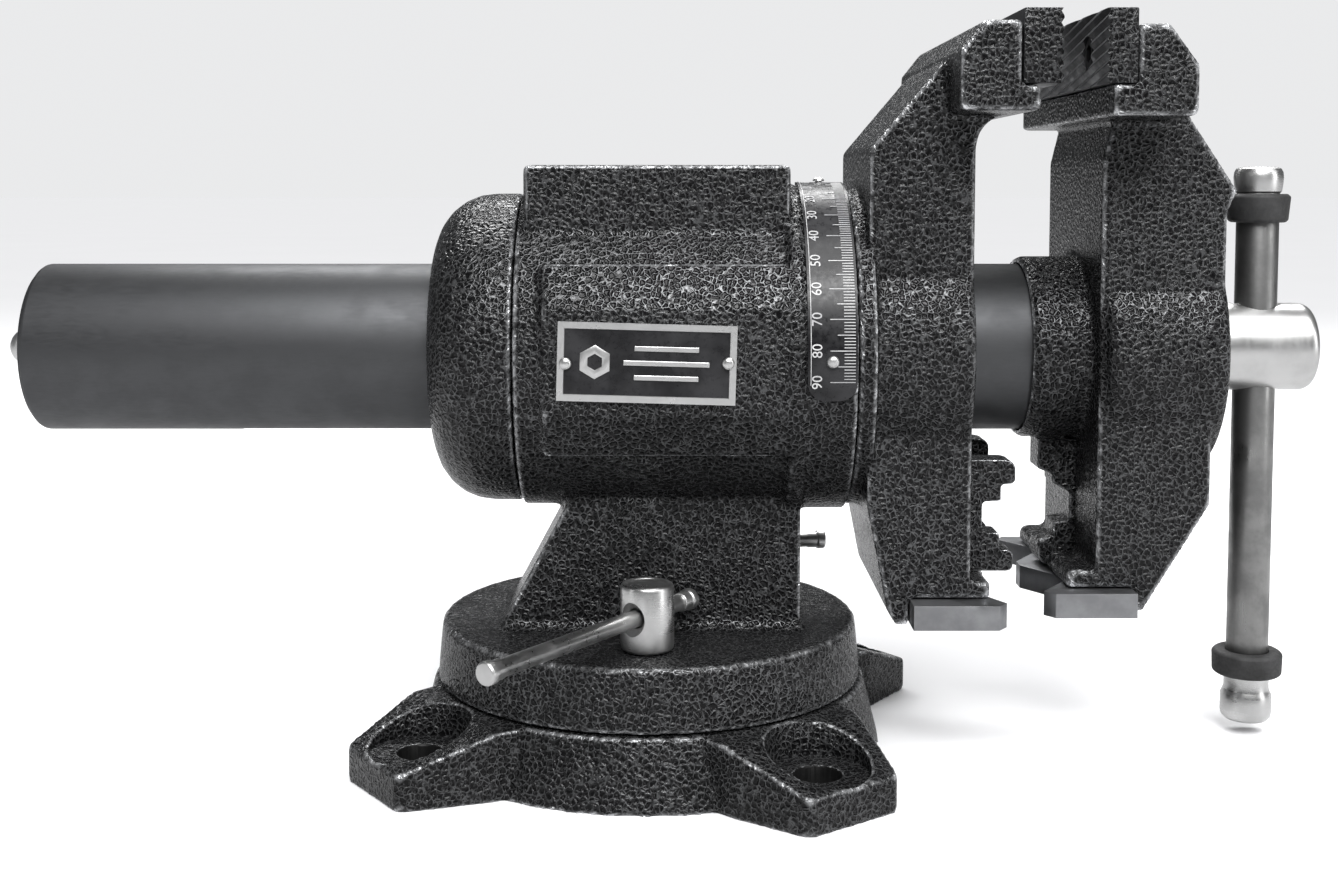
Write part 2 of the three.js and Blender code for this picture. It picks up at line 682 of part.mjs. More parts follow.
// ---------------------------------------------------------------- plates and rivets
function nameplate() {
  const back = -padFace - GAP;
  const half = NAMEPLATE_LENGTH / 2;
  const height = NAMEPLATE_HEIGHT / 2;
  const sheet = block(-half, half, back - PLATE_STOCK, back, -height, height);
  const holes = [-1, 1].map((side) => {
    return turnY(bar(rivetHole, back - 3, back + 3), SIDES_SCREW, side * plateRivetX);
  });
  return cut(sheet.rotate([0, -NAMEPLATE_TILT, 0]), ...holes);
}

// head out along -Y, shank towards the axis
function rivet(seat) {
  return turnY(
    [
      [0, -seat - RIVET_RISE],
      [RIVET_RADIUS * 0.6, -seat - 0.75 * RIVET_RISE],
      [RIVET_RADIUS, -seat],
      [RIVET_SHANK, -seat],
      [RIVET_SHANK, -seat + RIVET_LENGTH],
      [0, -seat + RIVET_LENGTH],
    ],
    SIDES_SCREW,
  );
}

function nameplateRivet(side) {
  return rivet(padFace + PLATE_STOCK + 2 * GAP).translate([side * plateRivetX, 0, 0]);
}

function scaleRivet(angle) {
  return rivet(scaleRadius + PLATE_STOCK + 2 * GAP).translate([scaleMiddle, 0, 0]).rotate([-angle, 0, 0]);
}

function angleScale() {
  const inner = scaleRadius + GAP;
  const outer = inner + PLATE_STOCK;
  const steps = 24;
  const at = (radius, k) => {
    const sweep = SCALE_HIGH_ANGLE - SCALE_LOW_ANGLE;
    const angle = THREE.MathUtils.degToRad(SCALE_LOW_ANGLE + (sweep * k) / steps);
    return [-radius * Math.cos(angle), radius * Math.sin(angle)];
  };
  const marks = Array.from({ length: steps + 1 }, (_, k) => k);
  const band = [...marks.map((k) => at(outer, k)), ...marks.reverse().map((k) => at(inner, k))];
  const holes = SCALE_RIVET_ANGLES.map((angle) => {
    const hole = turnY(bar(rivetHole, -outer - 1, -inner + 1), SIDES_SCREW, scaleMiddle);
    return hole.rotate([-angle, 0, 0]);
  });
  return cut(prismX(band, scaleRear + SCALE_MARGIN, HOUSING_FRONT - SCALE_MARGIN), ...holes);
}

// ---------------------------------------------------------------- head lock
function headLockScrew() {
  const tip = barrelRadius + 2 * GAP + HEAD_PAD_THICKNESS;
  const foot = housingRadius + HEAD_LOCK_BOSS_RISE + HEAD_LOCK_STANDOFF;
  const body = turnY([
    [0, tip],
    [HEAD_LOCK_RADIUS, tip],
    [HEAD_LOCK_RADIUS, foot],
    [LOCK_NUT_RADIUS - 1, foot],
    [LOCK_NUT_RADIUS, foot + 1],
    [LOCK_NUT_RADIUS, foot + LOCK_NUT_HEIGHT - 1],
    [LOCK_NUT_RADIUS - 1, foot + LOCK_NUT_HEIGHT],
    [0, foot + LOCK_NUT_HEIGHT],
  ], SIDES_SMALL);
  const hole = turnX(bar(lockBarHole, -LOCK_NUT_RADIUS - 2, LOCK_NUT_RADIUS + 2), SIDES_FINE_PIECE);
  return body.subtract(hole.translate([0, foot + LOCK_BAR_RISE, 0]));
}

function headLockPad() {
  const foot = barrelRadius + GAP;
  return turnY(rounded(HEAD_LOCK_RADIUS - GAP, foot, foot + HEAD_PAD_THICKNESS, 0.6), SIDES_SMALL);
}

function headLock() {
  const bars = groupOf(
    part('head_lock_bar', lockBar(HEAD_BAR_HALF, HEAD_BAR_HALF), PLATED),
    part('head_lock_bar_cap', lockBarCap(HEAD_BAR_HALF), PLATED),
  );
  bars.position.y = housingRadius + HEAD_LOCK_BOSS_RISE + HEAD_LOCK_STANDOFF + LOCK_BAR_RISE;
  const turning = groupOf(part('head_lock_screw', headLockScrew(), PLATED), bars);
  turning.rotation.y = THREE.MathUtils.degToRad(-60);
  const group = groupOf(part('head_lock_pad', headLockPad(), BRONZE), turning);
  group.position.x = HEAD_LOCK_X;
  return group;
}

// a turned piece or hole on the line of an insert's screw
function insertTurn(side, radius, from, to) {
  return turnX(bar(radius, from, to), SIDES_FINE_PIECE, side * INSERT_SCREW_Y, insertMiddle);
}

// ---------------------------------------------------------------- turning head with the fixed jaw
const aroundX = (solid, k, count) => solid.rotate([(k * 360) / count, 0, 0]);

function retainerScrewHoles(radius, from, to) {
  const screw = turnX(bar(radius, from, to), SIDES_SCREW, 0, retainerScrewRadius);
  return Array.from({ length: RETAINER_SCREWS }, (_, k) => aroundX(screw, k, RETAINER_SCREWS));
}

function fixedJaw() {
  const half = JAW_WIDTH / 2;
  const barrel = turnX(bar(barrelRadius, barrelRear, HUB_FRONT), SIDES_LARGE);
  const hub = turnX(bar(housingRadius, HOUSING_FRONT + GAP, HUB_FRONT), SIDES_LARGE);
  const boss = turnX(rounded(barrelRadius + FIXED_BOSS_WALL, HUB_FRONT - 2, FIXED_FACE, 2), SIDES_LARGE);
  const neck = prismY(
    [
      [FIXED_BACK, 0],
      [FIXED_FACE, 0],
      [FIXED_FACE, THROAT_HEIGHT, 10],
      [fixedSeat, THROAT_HEIGHT],
      [fixedSeat, jawTop - 10],
      [FIXED_BACK + 22, jawTop - 10.9],
      [FIXED_BACK, THROAT_HEIGHT - 10.6],
    ],
    -FIXED_NECK_HALF,
    FIXED_NECK_HALF,
  );
  const head = prismY(
    [
      [fixedSeat - 18, THROAT_HEIGHT, 2],
      [fixedSeat + 5.8, THROAT_HEIGHT],
      [fixedSeat + 5.8, insertFoot - GAP],
      [fixedSeat, insertFoot - GAP],
      [fixedSeat, jawTop],
      [fixedSeat - 11, jawTop],
      [fixedSeat - 18, jawTop - 8.8],
    ],
    -half,
    half,
  );
  const lowerBottom = veeBottom - 0.3;
  const lower = prismY(
    [
      [FIXED_BACK, 0],
      [FIXED_BACK, pipeCentre + 6.6],
      [FIXED_BACK + 6.6, lowerBottom + 4.4],
      [FIXED_BACK + 9.3, lowerBottom],
      [FIXED_FACE - 19.3, lowerBottom],
      [FIXED_FACE - 19.3, veeTop + GAP],
      [FIXED_FACE + 6, veeTop + GAP],
      [FIXED_FACE + 6, veeTop + LEDGE_HEIGHT],
      [FIXED_FACE, veeTop + LEDGE_HEIGHT],
      [FIXED_FACE, 0],
    ],
    -FIXED_NECK_HALF,
    FIXED_NECK_HALF,
  );
  const keyHalf = KEY_LENGTH / 2 + GAP;
  const keySide = KEY_WIDTH / 2 + GAP;
  const screwHoles = [-1, 1].flatMap((side) => [
    insertTurn(side, insertScrewHole, fixedSeat - 14, fixedSeat + 1),
    turnZ(bar(veeScrewHole, veeTop, veeTop + 12), SIDES_SCREW, fixedVeeScrewX, side * VEE_SCREW_Y),
  ]);
  return cut(
    join(barrel, hub, boss, neck, head, lower),
    turnX(bar(tubeBore, barrelRear - 1, FIXED_FACE + 1), SIDES_MIDDLE),
    block(NUT_CENTRE - keyHalf, NUT_CENTRE + keyHalf, -keySide, keySide, -barrelRadius - 1, 0),
    turnX(bar(forkScrewHole, FIXED_FACE - 16, FIXED_FACE + 1), SIDES_SCREW, 0, pipeCentre),
    ...screwHoles,
    ...retainerScrewHoles(retainerScrewHole, barrelRear - 1, barrelRear + 9),
  );
}

function retainer() {
  const front = barrelRear - GAP;
  const rear = front - RETAINER_THICKNESS;
  const ring = turnX(washer(TUBE_RADIUS + 2 * SLIDE_FIT, pocketRadius - GAP, rear, front), SIDES_MIDDLE);
  const headHole = RETAINER_SCREW_HEAD + GAP;
  const heads = retainerScrewHoles(headHole, rear - 1, rear + RETAINER_HEAD_LENGTH + GAP);
  return cut(ring, ...heads, ...retainerScrewHoles(retainerScrewHole, rear - 1, front + 1));
}

function retainerScrew(k) {
  const rear = barrelRear - GAP - RETAINER_THICKNESS;
  const screw = join(
    turnX(bar(RETAINER_SCREW_HEAD, rear, rear + RETAINER_HEAD_LENGTH), SIDES_SCREW, 0, retainerScrewRadius),
    turnX(bar(RETAINER_SCREW_RADIUS, rear + 2, barrelRear + 8), SIDES_SCREW, 0, retainerScrewRadius),
  );
  return aroundX(screw, k, RETAINER_SCREWS);
}

// ---------------------------------------------------------------- jaw inserts
function insert(from, to, faceSide) {
  const half = JAW_WIDTH / 2;
  const plate = block(from, to, -half, half, insertFoot, insertFoot + INSERT_HEIGHT);
  const face = faceSide > 0 ? to : from;
  const sink = INSERT_HEAD_SINK + INSERT_HEAD_LENGTH + GAP;
  const holes = [-1, 1].flatMap((side) => [
    insertTurn(side, insertScrewHole, from - 1, to + 1),
    insertTurn(side, insertHeadHole, face - sink, face + sink),
  ]);
  return cut(plate, ...holes);
}

function insertScrew(face, faceSide, length, side) {
  const outer = face - faceSide * INSERT_HEAD_SINK;
  const head = outer - faceSide * INSERT_HEAD_LENGTH;
  const tip = face - faceSide * length;
  const span = (a, b) => [Math.min(a, b), Math.max(a, b)];
  return join(
    insertTurn(side, INSERT_SCREW_HEAD, ...span(head, outer)),
    insertTurn(side, INSERT_SCREW_RADIUS, ...span(tip, outer)),
  );
}

// ---------------------------------------------------------------- pipe jaws
const aboutPipe = ([x, z, ...fillet]) => [x, z + pipeCentre, ...fillet];

function fixedPipeJaw() {
  const back = FIXED_FACE + GAP;
  const web = back + FORK_WEB;
  const headSeat = web - FORK_HEAD_LENGTH - GAP;
  const teeth = [
    [back, FORK_TOP],
    [FIXED_FACE + 16.2, FORK_TOP, 3],
    [FIXED_FACE + 16.2, 11, 1.5],
    [FIXED_FACE + 11.6, 10.6],
    [FIXED_FACE + 11.6, 5.4],
    [FIXED_FACE + 5.7, 5.1, 1],
    [FIXED_FACE + 5.7, -4.7, 2],
    [FIXED_FACE + 11.3, -4.7, 1],
    [FIXED_FACE + 11.3, -10.2],
    [FIXED_FACE + 15.7, -10.4, 2],
    [FIXED_FACE + 15.7, -FORK_FOOT, 2],
    [back, -FORK_FOOT],
  ].map(aboutPipe);
  return cut(
    join(
      prismY(teeth, -FORK_HALF, -FORK_HALF + FORK_PLATE),
      prismY(teeth, FORK_HALF - FORK_PLATE, FORK_HALF),
      block(back, web, 1 - FORK_HALF, FORK_HALF - 1, pipeCentre - FORK_FOOT + 1, pipeCentre + FORK_TOP - 2),
    ),
    turnX(bar(forkScrewHole, back - 1, web + 1), SIDES_SCREW, 0, pipeCentre),
    turnX(bar(FORK_SCREW_HEAD + GAP, headSeat, web + 1), SIDES_FINE_PIECE, 0, pipeCentre),
  );
}

function fixedPipeScrew() {
  const face = FIXED_FACE + GAP + FORK_WEB;
  return join(
    turnX(bar(FORK_SCREW_HEAD, face - FORK_HEAD_LENGTH, face), SIDES_FINE_PIECE, 0, pipeCentre),
    turnX(bar(FORK_SCREW_RADIUS, FIXED_FACE - 15, face - 1), SIDES_SCREW, 0, pipeCentre),
  );
}

function movingPipeJaw() {
  const tip = movingFace - 12;
  const top = -(collarRadius + GAP) - pipeCentre;
  const teeth = [
    [tongueBack, top],
    [tip, top],
    [tip, 12.3],
    [tip + 4.9, 10.3],
    [tip + 4.9, 7.5],
    [tip + 10.6, 4.3],
    [tip + 10.6, -5],
    [tip + 5.3, -5.8],
    [tip + 5.3, -10.3],
    [tip + 0.8, -11.5],
    [tip - 0.3, -TONGUE_FOOT, 4],
    [tongueBack, -TONGUE_FOOT],
  ].map(aboutPipe);
  const hole = turnY(bar(tonguePinHole, -FORK_HALF, FORK_HALF), SIDES_FINE_PIECE, tonguePinX, pipeCentre);
  return prismY(teeth, -TONGUE_HALF, TONGUE_HALF).subtract(hole);
}

function movingPipePin() {
  const pin = rounded(TONGUE_PIN_RADIUS, TONGUE_PIN_NEAR + GAP, MOVING_NECK_HALF - 0.5, 0.5);
  return turnY(pin, SIDES_FINE_PIECE, tonguePinX, pipeCentre);
}

// ---------------------------------------------------------------- vee plates
// the toothed edge is at "front", the plate runs back to "back"
function veePlate(front, back, half, screwX, lift) {
  const depth = front > back ? -VEE_NOTCH_DEPTH : VEE_NOTCH_DEPTH;
  const headSeat = veeBottom + VEE_HEAD_LENGTH + 2 * GAP;
  const edge = [
    [front, half - 4],
    [front + depth, VEE_NOTCH_Y],
    [front, 3],
  ];
  const side = [[back, half], [front + depth / 4, half], ...edge];
  const plan = [...side, ...side.map(([x, y]) => [x, -y]).reverse()];
  const holes = [-1, 1].flatMap((side) => [
    turnZ(bar(veeScrewHole, veeBottom - 1, veeTop + 1), SIDES_SCREW, screwX, side * VEE_SCREW_Y),
    turnZ(bar(VEE_SCREW_HEAD + GAP, veeBottom - 1, headSeat), SIDES_FINE_PIECE, screwX, side * VEE_SCREW_Y),
  ]);
  return cut(prismZ(plan, veeBottom, veeTop), ...holes).translate([0, 0, lift]);
}

function veeScrew(screwX, side, lift) {
  const foot = veeBottom + GAP;
  const screw = join(
    turnZ(bar(VEE_SCREW_HEAD, foot, foot + VEE_HEAD_LENGTH), SIDES_FINE_PIECE, screwX, side * VEE_SCREW_Y),
    turnZ(bar(VEE_SCREW_RADIUS, foot + 1, veeTop + 10), SIDES_SCREW, screwX, side * VEE_SCREW_Y),
  );
  return screw.translate([0, 0, lift]);
}

// ---------------------------------------------------------------- moving jaw
function movingJaw() {
  const half = JAW_WIDTH / 2;
  const collar = turnX([
    [0, collarFront],
    [collarRadius - 3, collarFront],
    [collarRadius - 0.9, collarFront + 0.9],
    [collarRadius, collarFront + 3],
    [collarRadius, movingSeat + 2],
    [0, movingSeat + 2],
  ], SIDES_MIDDLE);
  const boss = turnX(rounded(movingBoss, movingSeat - 1, movingBack, 3), SIDES_LARGE);
  const neck = prismY(
    [
      [movingSeat - 3, 0],
      [movingBack - 1, 0],
      [movingBack - 1, THROAT_HEIGHT - 30],
      [movingBack + 2, THROAT_HEIGHT - 23.5],
      [movingBack - 13, THROAT_HEIGHT - 1],
      [movingBack - 19, jawTop - 13],
      [movingSeat, jawTop - 10],
      [movingSeat, THROAT_HEIGHT - 1.6],
      [movingSeat - 3, THROAT_HEIGHT - 14, 6],
    ],
    -MOVING_NECK_HALF,
    MOVING_NECK_HALF,
  );
  const head = prismY(
    [
      [movingSeat - 7, THROAT_HEIGHT - 1.6],
      [movingSeat + 18, THROAT_HEIGHT - 1.6, 2],
      [movingSeat + 18, jawTop - 13.2],
      [movingSeat + 9, jawTop - 1.1],
      [movingSeat, jawTop - 1.1],
      [movingSeat, insertFoot - GAP],
      [movingSeat - 7, insertFoot - GAP],
    ],
    -half,
    half,
  );
  const foot = veeTop + MOVING_VEE_LIFT + GAP;
  const lower = prismY(
    [
      [movingFace, 0],
      [movingFace, foot + LEDGE_HEIGHT],
      [movingFace - FOOT_REACH, foot + LEDGE_HEIGHT, 3],
      [movingFace - FOOT_REACH, foot],
      [movingVeeBack + GAP, foot],
      [movingVeeBack + GAP, veeBottom + MOVING_VEE_LIFT + 0.4],
      [movingBack - 25, veeBottom + MOVING_VEE_LIFT + 0.4],
      [movingBack - 4.5, pipeCentre + 5.6],
      [movingBack - 4.5, 0],
    ],
    -MOVING_NECK_HALF,
    MOVING_NECK_HALF,
  );
  const screwHoles = [-1, 1].flatMap((side) => [
    insertTurn(side, insertScrewHole, movingSeat - 1, movingSeat + 13),
    turnZ(bar(veeScrewHole, foot - 1, foot + 12), SIDES_SCREW, movingVeeScrewX, side * VEE_SCREW_Y),
  ]);
  return cut(
    join(collar, boss, neck, head, lower),
    turnX(bar(TUBE_RADIUS + GAP, collarFront - 1, tubeSeat), SIDES_MIDDLE),
    turnX(bar(spindleBore, tubeSeat - 1, movingBack + 3), SIDES_SMALL),
    turnY(bar(tubePinHole, TUBE_RADIUS, movingBoss + 1), SIDES_SCREW, tubePinX),
    block(
      movingFace - 20,
      tongueBack + GAP,
      -TONGUE_HALF - GAP,
      TONGUE_HALF + GAP,
      pipeCentre - TONGUE_FOOT - 1,
      -collarRadius,
    ),
    turnY(
      bar(tonguePinHole, TONGUE_PIN_NEAR, MOVING_NECK_HALF + 1),
      SIDES_FINE_PIECE,
      tonguePinX,
      pipeCentre,
    ),
    ...screwHoles,
  );
}

function slideTube() {
  const slotRear = NUT_CENTRE - KEY_LENGTH / 2 - TRAVEL_OPEN - 2;
  const slotFront = NUT_CENTRE + KEY_LENGTH / 2 + TRAVEL_CLOSED + 2;
  const slotHalf = KEY_WIDTH / 2 + 0.5;
  return cut(
    turnX(washer(tubeInner, TUBE_RADIUS, TUBE_REAR, tubeFront), SIDES_MIDDLE),
    block(slotRear, slotFront, -slotHalf, slotHalf, -TUBE_RADIUS - 1, 0),
    turnY(bar(tubePinHole, 0, TUBE_RADIUS + 1), SIDES_SCREW, tubePinX),
  );
}

function tubePin() {
  return turnY(rounded(TUBE_PIN_RADIUS, tubeInner + GAP, movingBoss - 1, 0.5), SIDES_SCREW, tubePinX);
}

function tubeCap() {
  const plug = tubeInner - GAP;
  const seat = TUBE_REAR - GAP;
  const rear = seat - TUBE_CAP_FLANGE;
  return turnX([
    [plugShankHole, rear],
    [TUBE_RADIUS - 3, rear],
    [TUBE_RADIUS - 0.9, rear + 0.9],
    [TUBE_RADIUS, seat],
    [plug, seat],
    [plug, seat + TUBE_CAP_PLUG],
    [plugShankHole, seat + TUBE_CAP_PLUG],
    [plugShankHole, rear],
  ], SIDES_MIDDLE);
}

function tubeCapScrew() {
  const seat = TUBE_REAR - 2 * GAP - TUBE_CAP_FLANGE;
  const dome = Array.from({ length: 5 }, (_, k) => {
    const angle = (k * Math.PI) / 10;
    return [PLUG_SCREW_RADIUS * Math.sin(angle), seat - 3 - (PLUG_SCREW_RISE - 3) * Math.cos(angle)];
  });
  const tip = seat + TUBE_CAP_PLUG + 1;
  const shank = [[PLUG_SCREW_SHANK, seat], [PLUG_SCREW_SHANK, tip], [0, tip]];
  return turnX([...dome, [PLUG_SCREW_RADIUS, seat], ...shank]);
}

// ---------------------------------------------------------------- spindle line
function spindle() {
  const head = spindleShoulder + SPINDLE_HEAD_LENGTH;
  const body = turnX(
    [
      [0, SPINDLE_TAIL],
      [SPINDLE_RADIUS - 2, SPINDLE_TAIL],
      [SPINDLE_RADIUS, SPINDLE_TAIL + 2],
      [SPINDLE_RADIUS, spindleShoulder],
      [SPINDLE_HEAD_RADIUS, spindleShoulder],
      [SPINDLE_HEAD_RADIUS, head - 1.5],
      [SPINDLE_HEAD_RADIUS - 1.5, head],
      [0, head],
    ],
    SIDES_SMALL,
  );
  const reach = SPINDLE_HEAD_RADIUS + 2;
  return cut(
    body,
    turnZ(bar(handleHole, -reach, reach), SIDES_SMALL, handleX),
    turnZ(bar(stopPinHole, -reach, reach), SIDES_SCREW, stopX),
  );
}

function spindleStop() {
  const half = COLLAR_THICKNESS / 2;
  const ring = turnX(washer(spindleBore, stopRadius, stopX - half, stopX + half), SIDES_SMALL);
  return ring.subtract(turnZ(bar(stopPinHole, -stopRadius - 1, stopRadius + 1), SIDES_SCREW, stopX));
}

function stopPin() {
  return turnZ(bar(STOP_PIN_RADIUS, -stopRadius + 0.5, stopRadius - 0.5), SIDES_SCREW, stopX);
}

function thrustWasher() {
  const from = movingBack + GAP;
  return turnX(washer(spindleBore, SPINDLE_HEAD_RADIUS + 1.5, from, from + WASHER_THICKNESS), SIDES_SMALL);
}

function spindleNut() {
  const half = NUT_LENGTH / 2;
  const outer = tubeInner - GAP;
  const keyHalf = KEY_LENGTH / 2 + GAP;
  const keySide = KEY_WIDTH / 2 + GAP;
  const body = turnX(washer(SPINDLE_RADIUS + GAP, outer, NUT_CENTRE - half, NUT_CENTRE + half), SIDES_SMALL);
  const pocketTop = -keyTop + GAP;
  return body.subtract(
    block(NUT_CENTRE - keyHalf, NUT_CENTRE + keyHalf, -keySide, keySide, -outer - 1, pocketTop),
  );
}

function nutKey() {
  const half = KEY_LENGTH / 2;
  const side = KEY_WIDTH / 2;
  return block(NUT_CENTRE - half, NUT_CENTRE + half, -side, side, -barrelRadius + 0.7, -keyTop);
}

// ---------------------------------------------------------------- handle
// written about the middle of the cross hole, along Z
function handleBar() {
  return turnZ(rounded(HANDLE_RADIUS, barFoot, barTop, 1), SIDES_SMALL);
}

function knob(from, to, inside) {
  const body = turnZ(rounded(knobRadius, from, to, 1.6));
  const bore = inside < 0 ? [inside - GAP, to + 1] : [from - 1, inside + GAP];
  return body.subtract(turnZ(bar(handleHole, ...bore)));
}

function handleRing(seat, length, wall) {
  const edge = 1.2;
  const radius = HANDLE_RADIUS + wall;
  const from = Math.min(seat, seat + length);
  const to = Math.max(seat, seat + length);
  return turnZ([
    [handleHole, from],
    [radius - edge, from],
    [radius, from + edge],
    [radius, to - edge],
    [radius - edge, to],
    [handleHole, to],
    [handleHole, from],
  ], SIDES_SMALL);
}

function handle() {
  const topSeat = HANDLE_UP - TOP_KNOB_LENGTH;
  const bottomSeat = -HANDLE_DOWN + BOTTOM_KNOB_LENGTH;
  const group = groupOf(
    part('handle_bar', handleBar(), PLATED),
    part('handle_knob_top', knob(topSeat, HANDLE_UP, barTop), PLATED),
    part('handle_knob_bottom', knob(-HANDLE_DOWN, bottomSeat, barFoot), PLATED),
    part('handle_ring_top', handleRing(topSeat - GAP, -TOP_RING_LENGTH, TOP_RING_WALL), RUBBER),
    part('handle_ring_bottom', handleRing(bottomSeat + GAP, BOTTOM_RING_LENGTH, BOTTOM_RING_WALL), RUBBER),
  );
  group.position.x = handleX;
  return group;
}

// ---------------------------------------------------------------- the whole vise
const bench = groupOf(
  part('base_casting', baseCasting(), HAMMERED),
  part('pivot_pin', pivotPin(), MACHINED),
  swivelLock('front', -1, FRONT_BAR_ANGLE, FRONT_BAR_INNER, FRONT_BAR_OUTER),
  swivelLock('rear', 1, REAR_BAR_ANGLE, REAR_BAR_INNER, REAR_BAR_OUTER),
);

const axisLine = groupOf(
  part('body_casting', bodyCasting(), HAMMERED),
  part('rear_cap', rearCap(), HAMMERED),
  part('nameplate', nameplate(), PRINTED),
  part('angle_scale', angleScale(), PRINTED),
  headLock(),
  part('fixed_jaw', fixedJaw(), HAMMERED),
  part('barrel_retainer', retainer(), MACHINED),
  part('fixed_insert', insert(fixedSeat + GAP, fixedInsertFace, 1), HARDENED),
  part('fixed_pipe_jaw', fixedPipeJaw(), HAMMERED),
  part('fixed_pipe_jaw_screw', fixedPipeScrew(), BLACKED),
  part(
    'fixed_vee_plate',
    veePlate(fixedVeeFront, fixedVeeFront - VEE_LENGTH, FIXED_VEE_HALF, fixedVeeScrewX, 0),
    MACHINED,
  ),
  part('moving_jaw', movingJaw(), HAMMERED),
  part('slide_tube', slideTube(), GUNMETAL),
  part('tube_pin', tubePin(), MACHINED),
  part('tube_cap', tubeCap(), GUNMETAL),
  part('tube_cap_screw', tubeCapScrew(), PLATED),
  part('moving_insert', insert(movingInsertFace, movingSeat - GAP, -1), HARDENED),
  part('moving_pipe_jaw', movingPipeJaw(), HAMMERED),
  part('moving_pipe_jaw_pin', movingPipePin(), MACHINED),
  part(
    'moving_vee_plate',
    veePlate(movingVeeFront, movingVeeBack, MOVING_VEE_HALF, movingVeeScrewX, MOVING_VEE_LIFT),
    MACHINED,
  ),
  part('spindle', spindle(), PLATED),
  part('spindle_stop', spindleStop(), MACHINED),
  part('spindle_stop_pin', stopPin(), MACHINED),
  part('thrust_washer', thrustWasher(), MACHINED),
  part('spindle_nut', spindleNut(), BRONZE),
  part('nut_key', nutKey(), MACHINED),
  handle(),
);

['left', 'right'].forEach((name, i) => {
  axisLine.add(part(`nameplate_rivet_${name}`, nameplateRivet(2 * i - 1), PLATED));
});
['low', 'high'].forEach((name, i) => {
  axisLine.add(part(`angle_scale_rivet_${name}`, scaleRivet(SCALE_RIVET_ANGLES[i]), PLATED));
});
['near', 'far'].forEach((name, i) => {
  const side = 2 * i - 1;
  const fixedLength = FIXED_INSERT_SCREW_LENGTH;
  const movingLength = MOVING_INSERT_SCREW_LENGTH;
  axisLine.add(
    part(`fixed_insert_screw_${name}`, insertScrew(fixedInsertFace, 1, fixedLength, side), BLACKED),
    part(`moving_insert_screw_${name}`, insertScrew(movingInsertFace, -1, movingLength, side), BLACKED),
    part(`fixed_vee_screw_${name}`, veeScrew(fixedVeeScrewX, side, 0), BLACKED),
    part(`moving_vee_screw_${name}`, veeScrew(movingVeeScrewX, side, MOVING_VEE_LIFT), BLACKED),
  );
});
for (let k = 0; k < RETAINER_SCREWS; k += 1) {
  axisLine.add(part(`retainer_screw_${k + 1}`, retainerScrew(k), BLACKED));
}
axisLine.position.z = AXIS_HEIGHT;

const vise = groupOf(bench, axisLine);
export default vise;
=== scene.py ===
import json
import math

import bpy
from bpy.props import FloatProperty, FloatVectorProperty, IntProperty, PointerProperty
from mathutils import Matrix, Quaternion, Vector


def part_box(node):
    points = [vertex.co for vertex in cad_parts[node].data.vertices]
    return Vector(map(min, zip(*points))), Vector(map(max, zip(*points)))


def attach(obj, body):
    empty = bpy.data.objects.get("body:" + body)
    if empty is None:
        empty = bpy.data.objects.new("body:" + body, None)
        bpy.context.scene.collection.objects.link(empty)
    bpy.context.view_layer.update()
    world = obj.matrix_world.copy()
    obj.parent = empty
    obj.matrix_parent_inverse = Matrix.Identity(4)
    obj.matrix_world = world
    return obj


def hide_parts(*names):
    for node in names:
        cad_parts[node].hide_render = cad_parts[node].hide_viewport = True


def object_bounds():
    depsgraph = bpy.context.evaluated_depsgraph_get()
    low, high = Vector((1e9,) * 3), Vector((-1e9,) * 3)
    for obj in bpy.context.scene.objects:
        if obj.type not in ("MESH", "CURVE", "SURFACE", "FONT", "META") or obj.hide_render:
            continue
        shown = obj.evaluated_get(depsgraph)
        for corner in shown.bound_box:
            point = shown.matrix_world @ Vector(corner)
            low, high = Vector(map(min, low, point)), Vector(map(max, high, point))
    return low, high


bl_info = {
    "name": "Swivel Bench Vise",
    "version": (1, 0, 0),
    "blender": (4, 5, 0),
    "location": "View3D > Sidebar > Vise",
    "description": "Makes the finished pieces of a swivelling bench vise round its fixed frame",
    "category": "Object",
}

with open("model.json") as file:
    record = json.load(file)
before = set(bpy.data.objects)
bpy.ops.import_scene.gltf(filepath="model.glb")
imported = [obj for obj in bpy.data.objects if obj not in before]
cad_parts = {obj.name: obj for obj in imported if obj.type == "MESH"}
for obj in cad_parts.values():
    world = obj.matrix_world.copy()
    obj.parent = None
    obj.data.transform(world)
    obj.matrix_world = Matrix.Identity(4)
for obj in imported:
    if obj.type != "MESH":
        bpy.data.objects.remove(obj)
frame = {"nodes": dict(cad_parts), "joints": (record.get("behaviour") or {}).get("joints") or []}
frame_low, frame_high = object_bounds()

MM = 0.001
ALONG = Vector((1, 0, 0))
ACROSS = Vector((0, 1, 0))
UPWARD = Vector((0, 0, 1))
TUBE_LOW, TUBE_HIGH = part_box("slide_tube")
AXIS = Vector((0, 0, (TUBE_LOW.z + TUBE_HIGH.z) / 2))  # the spindle's line runs through this point
TUBE_RADIUS = (TUBE_HIGH.z - TUBE_LOW.z) / 2 / MM
JOINTS = {joint["name"]: joint for joint in frame["joints"]}


# ---------------- what a user may change
class PaintSettings(bpy.types.PropertyGroup):
    """Hammered enamel on the castings."""

    cell_size: FloatProperty(
        name="Cell size", description="Width of one hammered cell", default=0.0018, unit="LENGTH"
    )
    enamel: FloatVectorProperty(
        name="Enamel", description="Colour inside a cell", default=(0.004, 0.004, 0.0043), subtype="COLOR"
    )
    flake: FloatVectorProperty(
        name="Flake", description="Colour between the cells", default=(0.125, 0.127, 0.13), subtype="COLOR"
    )
    relief: FloatProperty(name="Relief", description="Height of the veins", default=0.00028, unit="LENGTH")


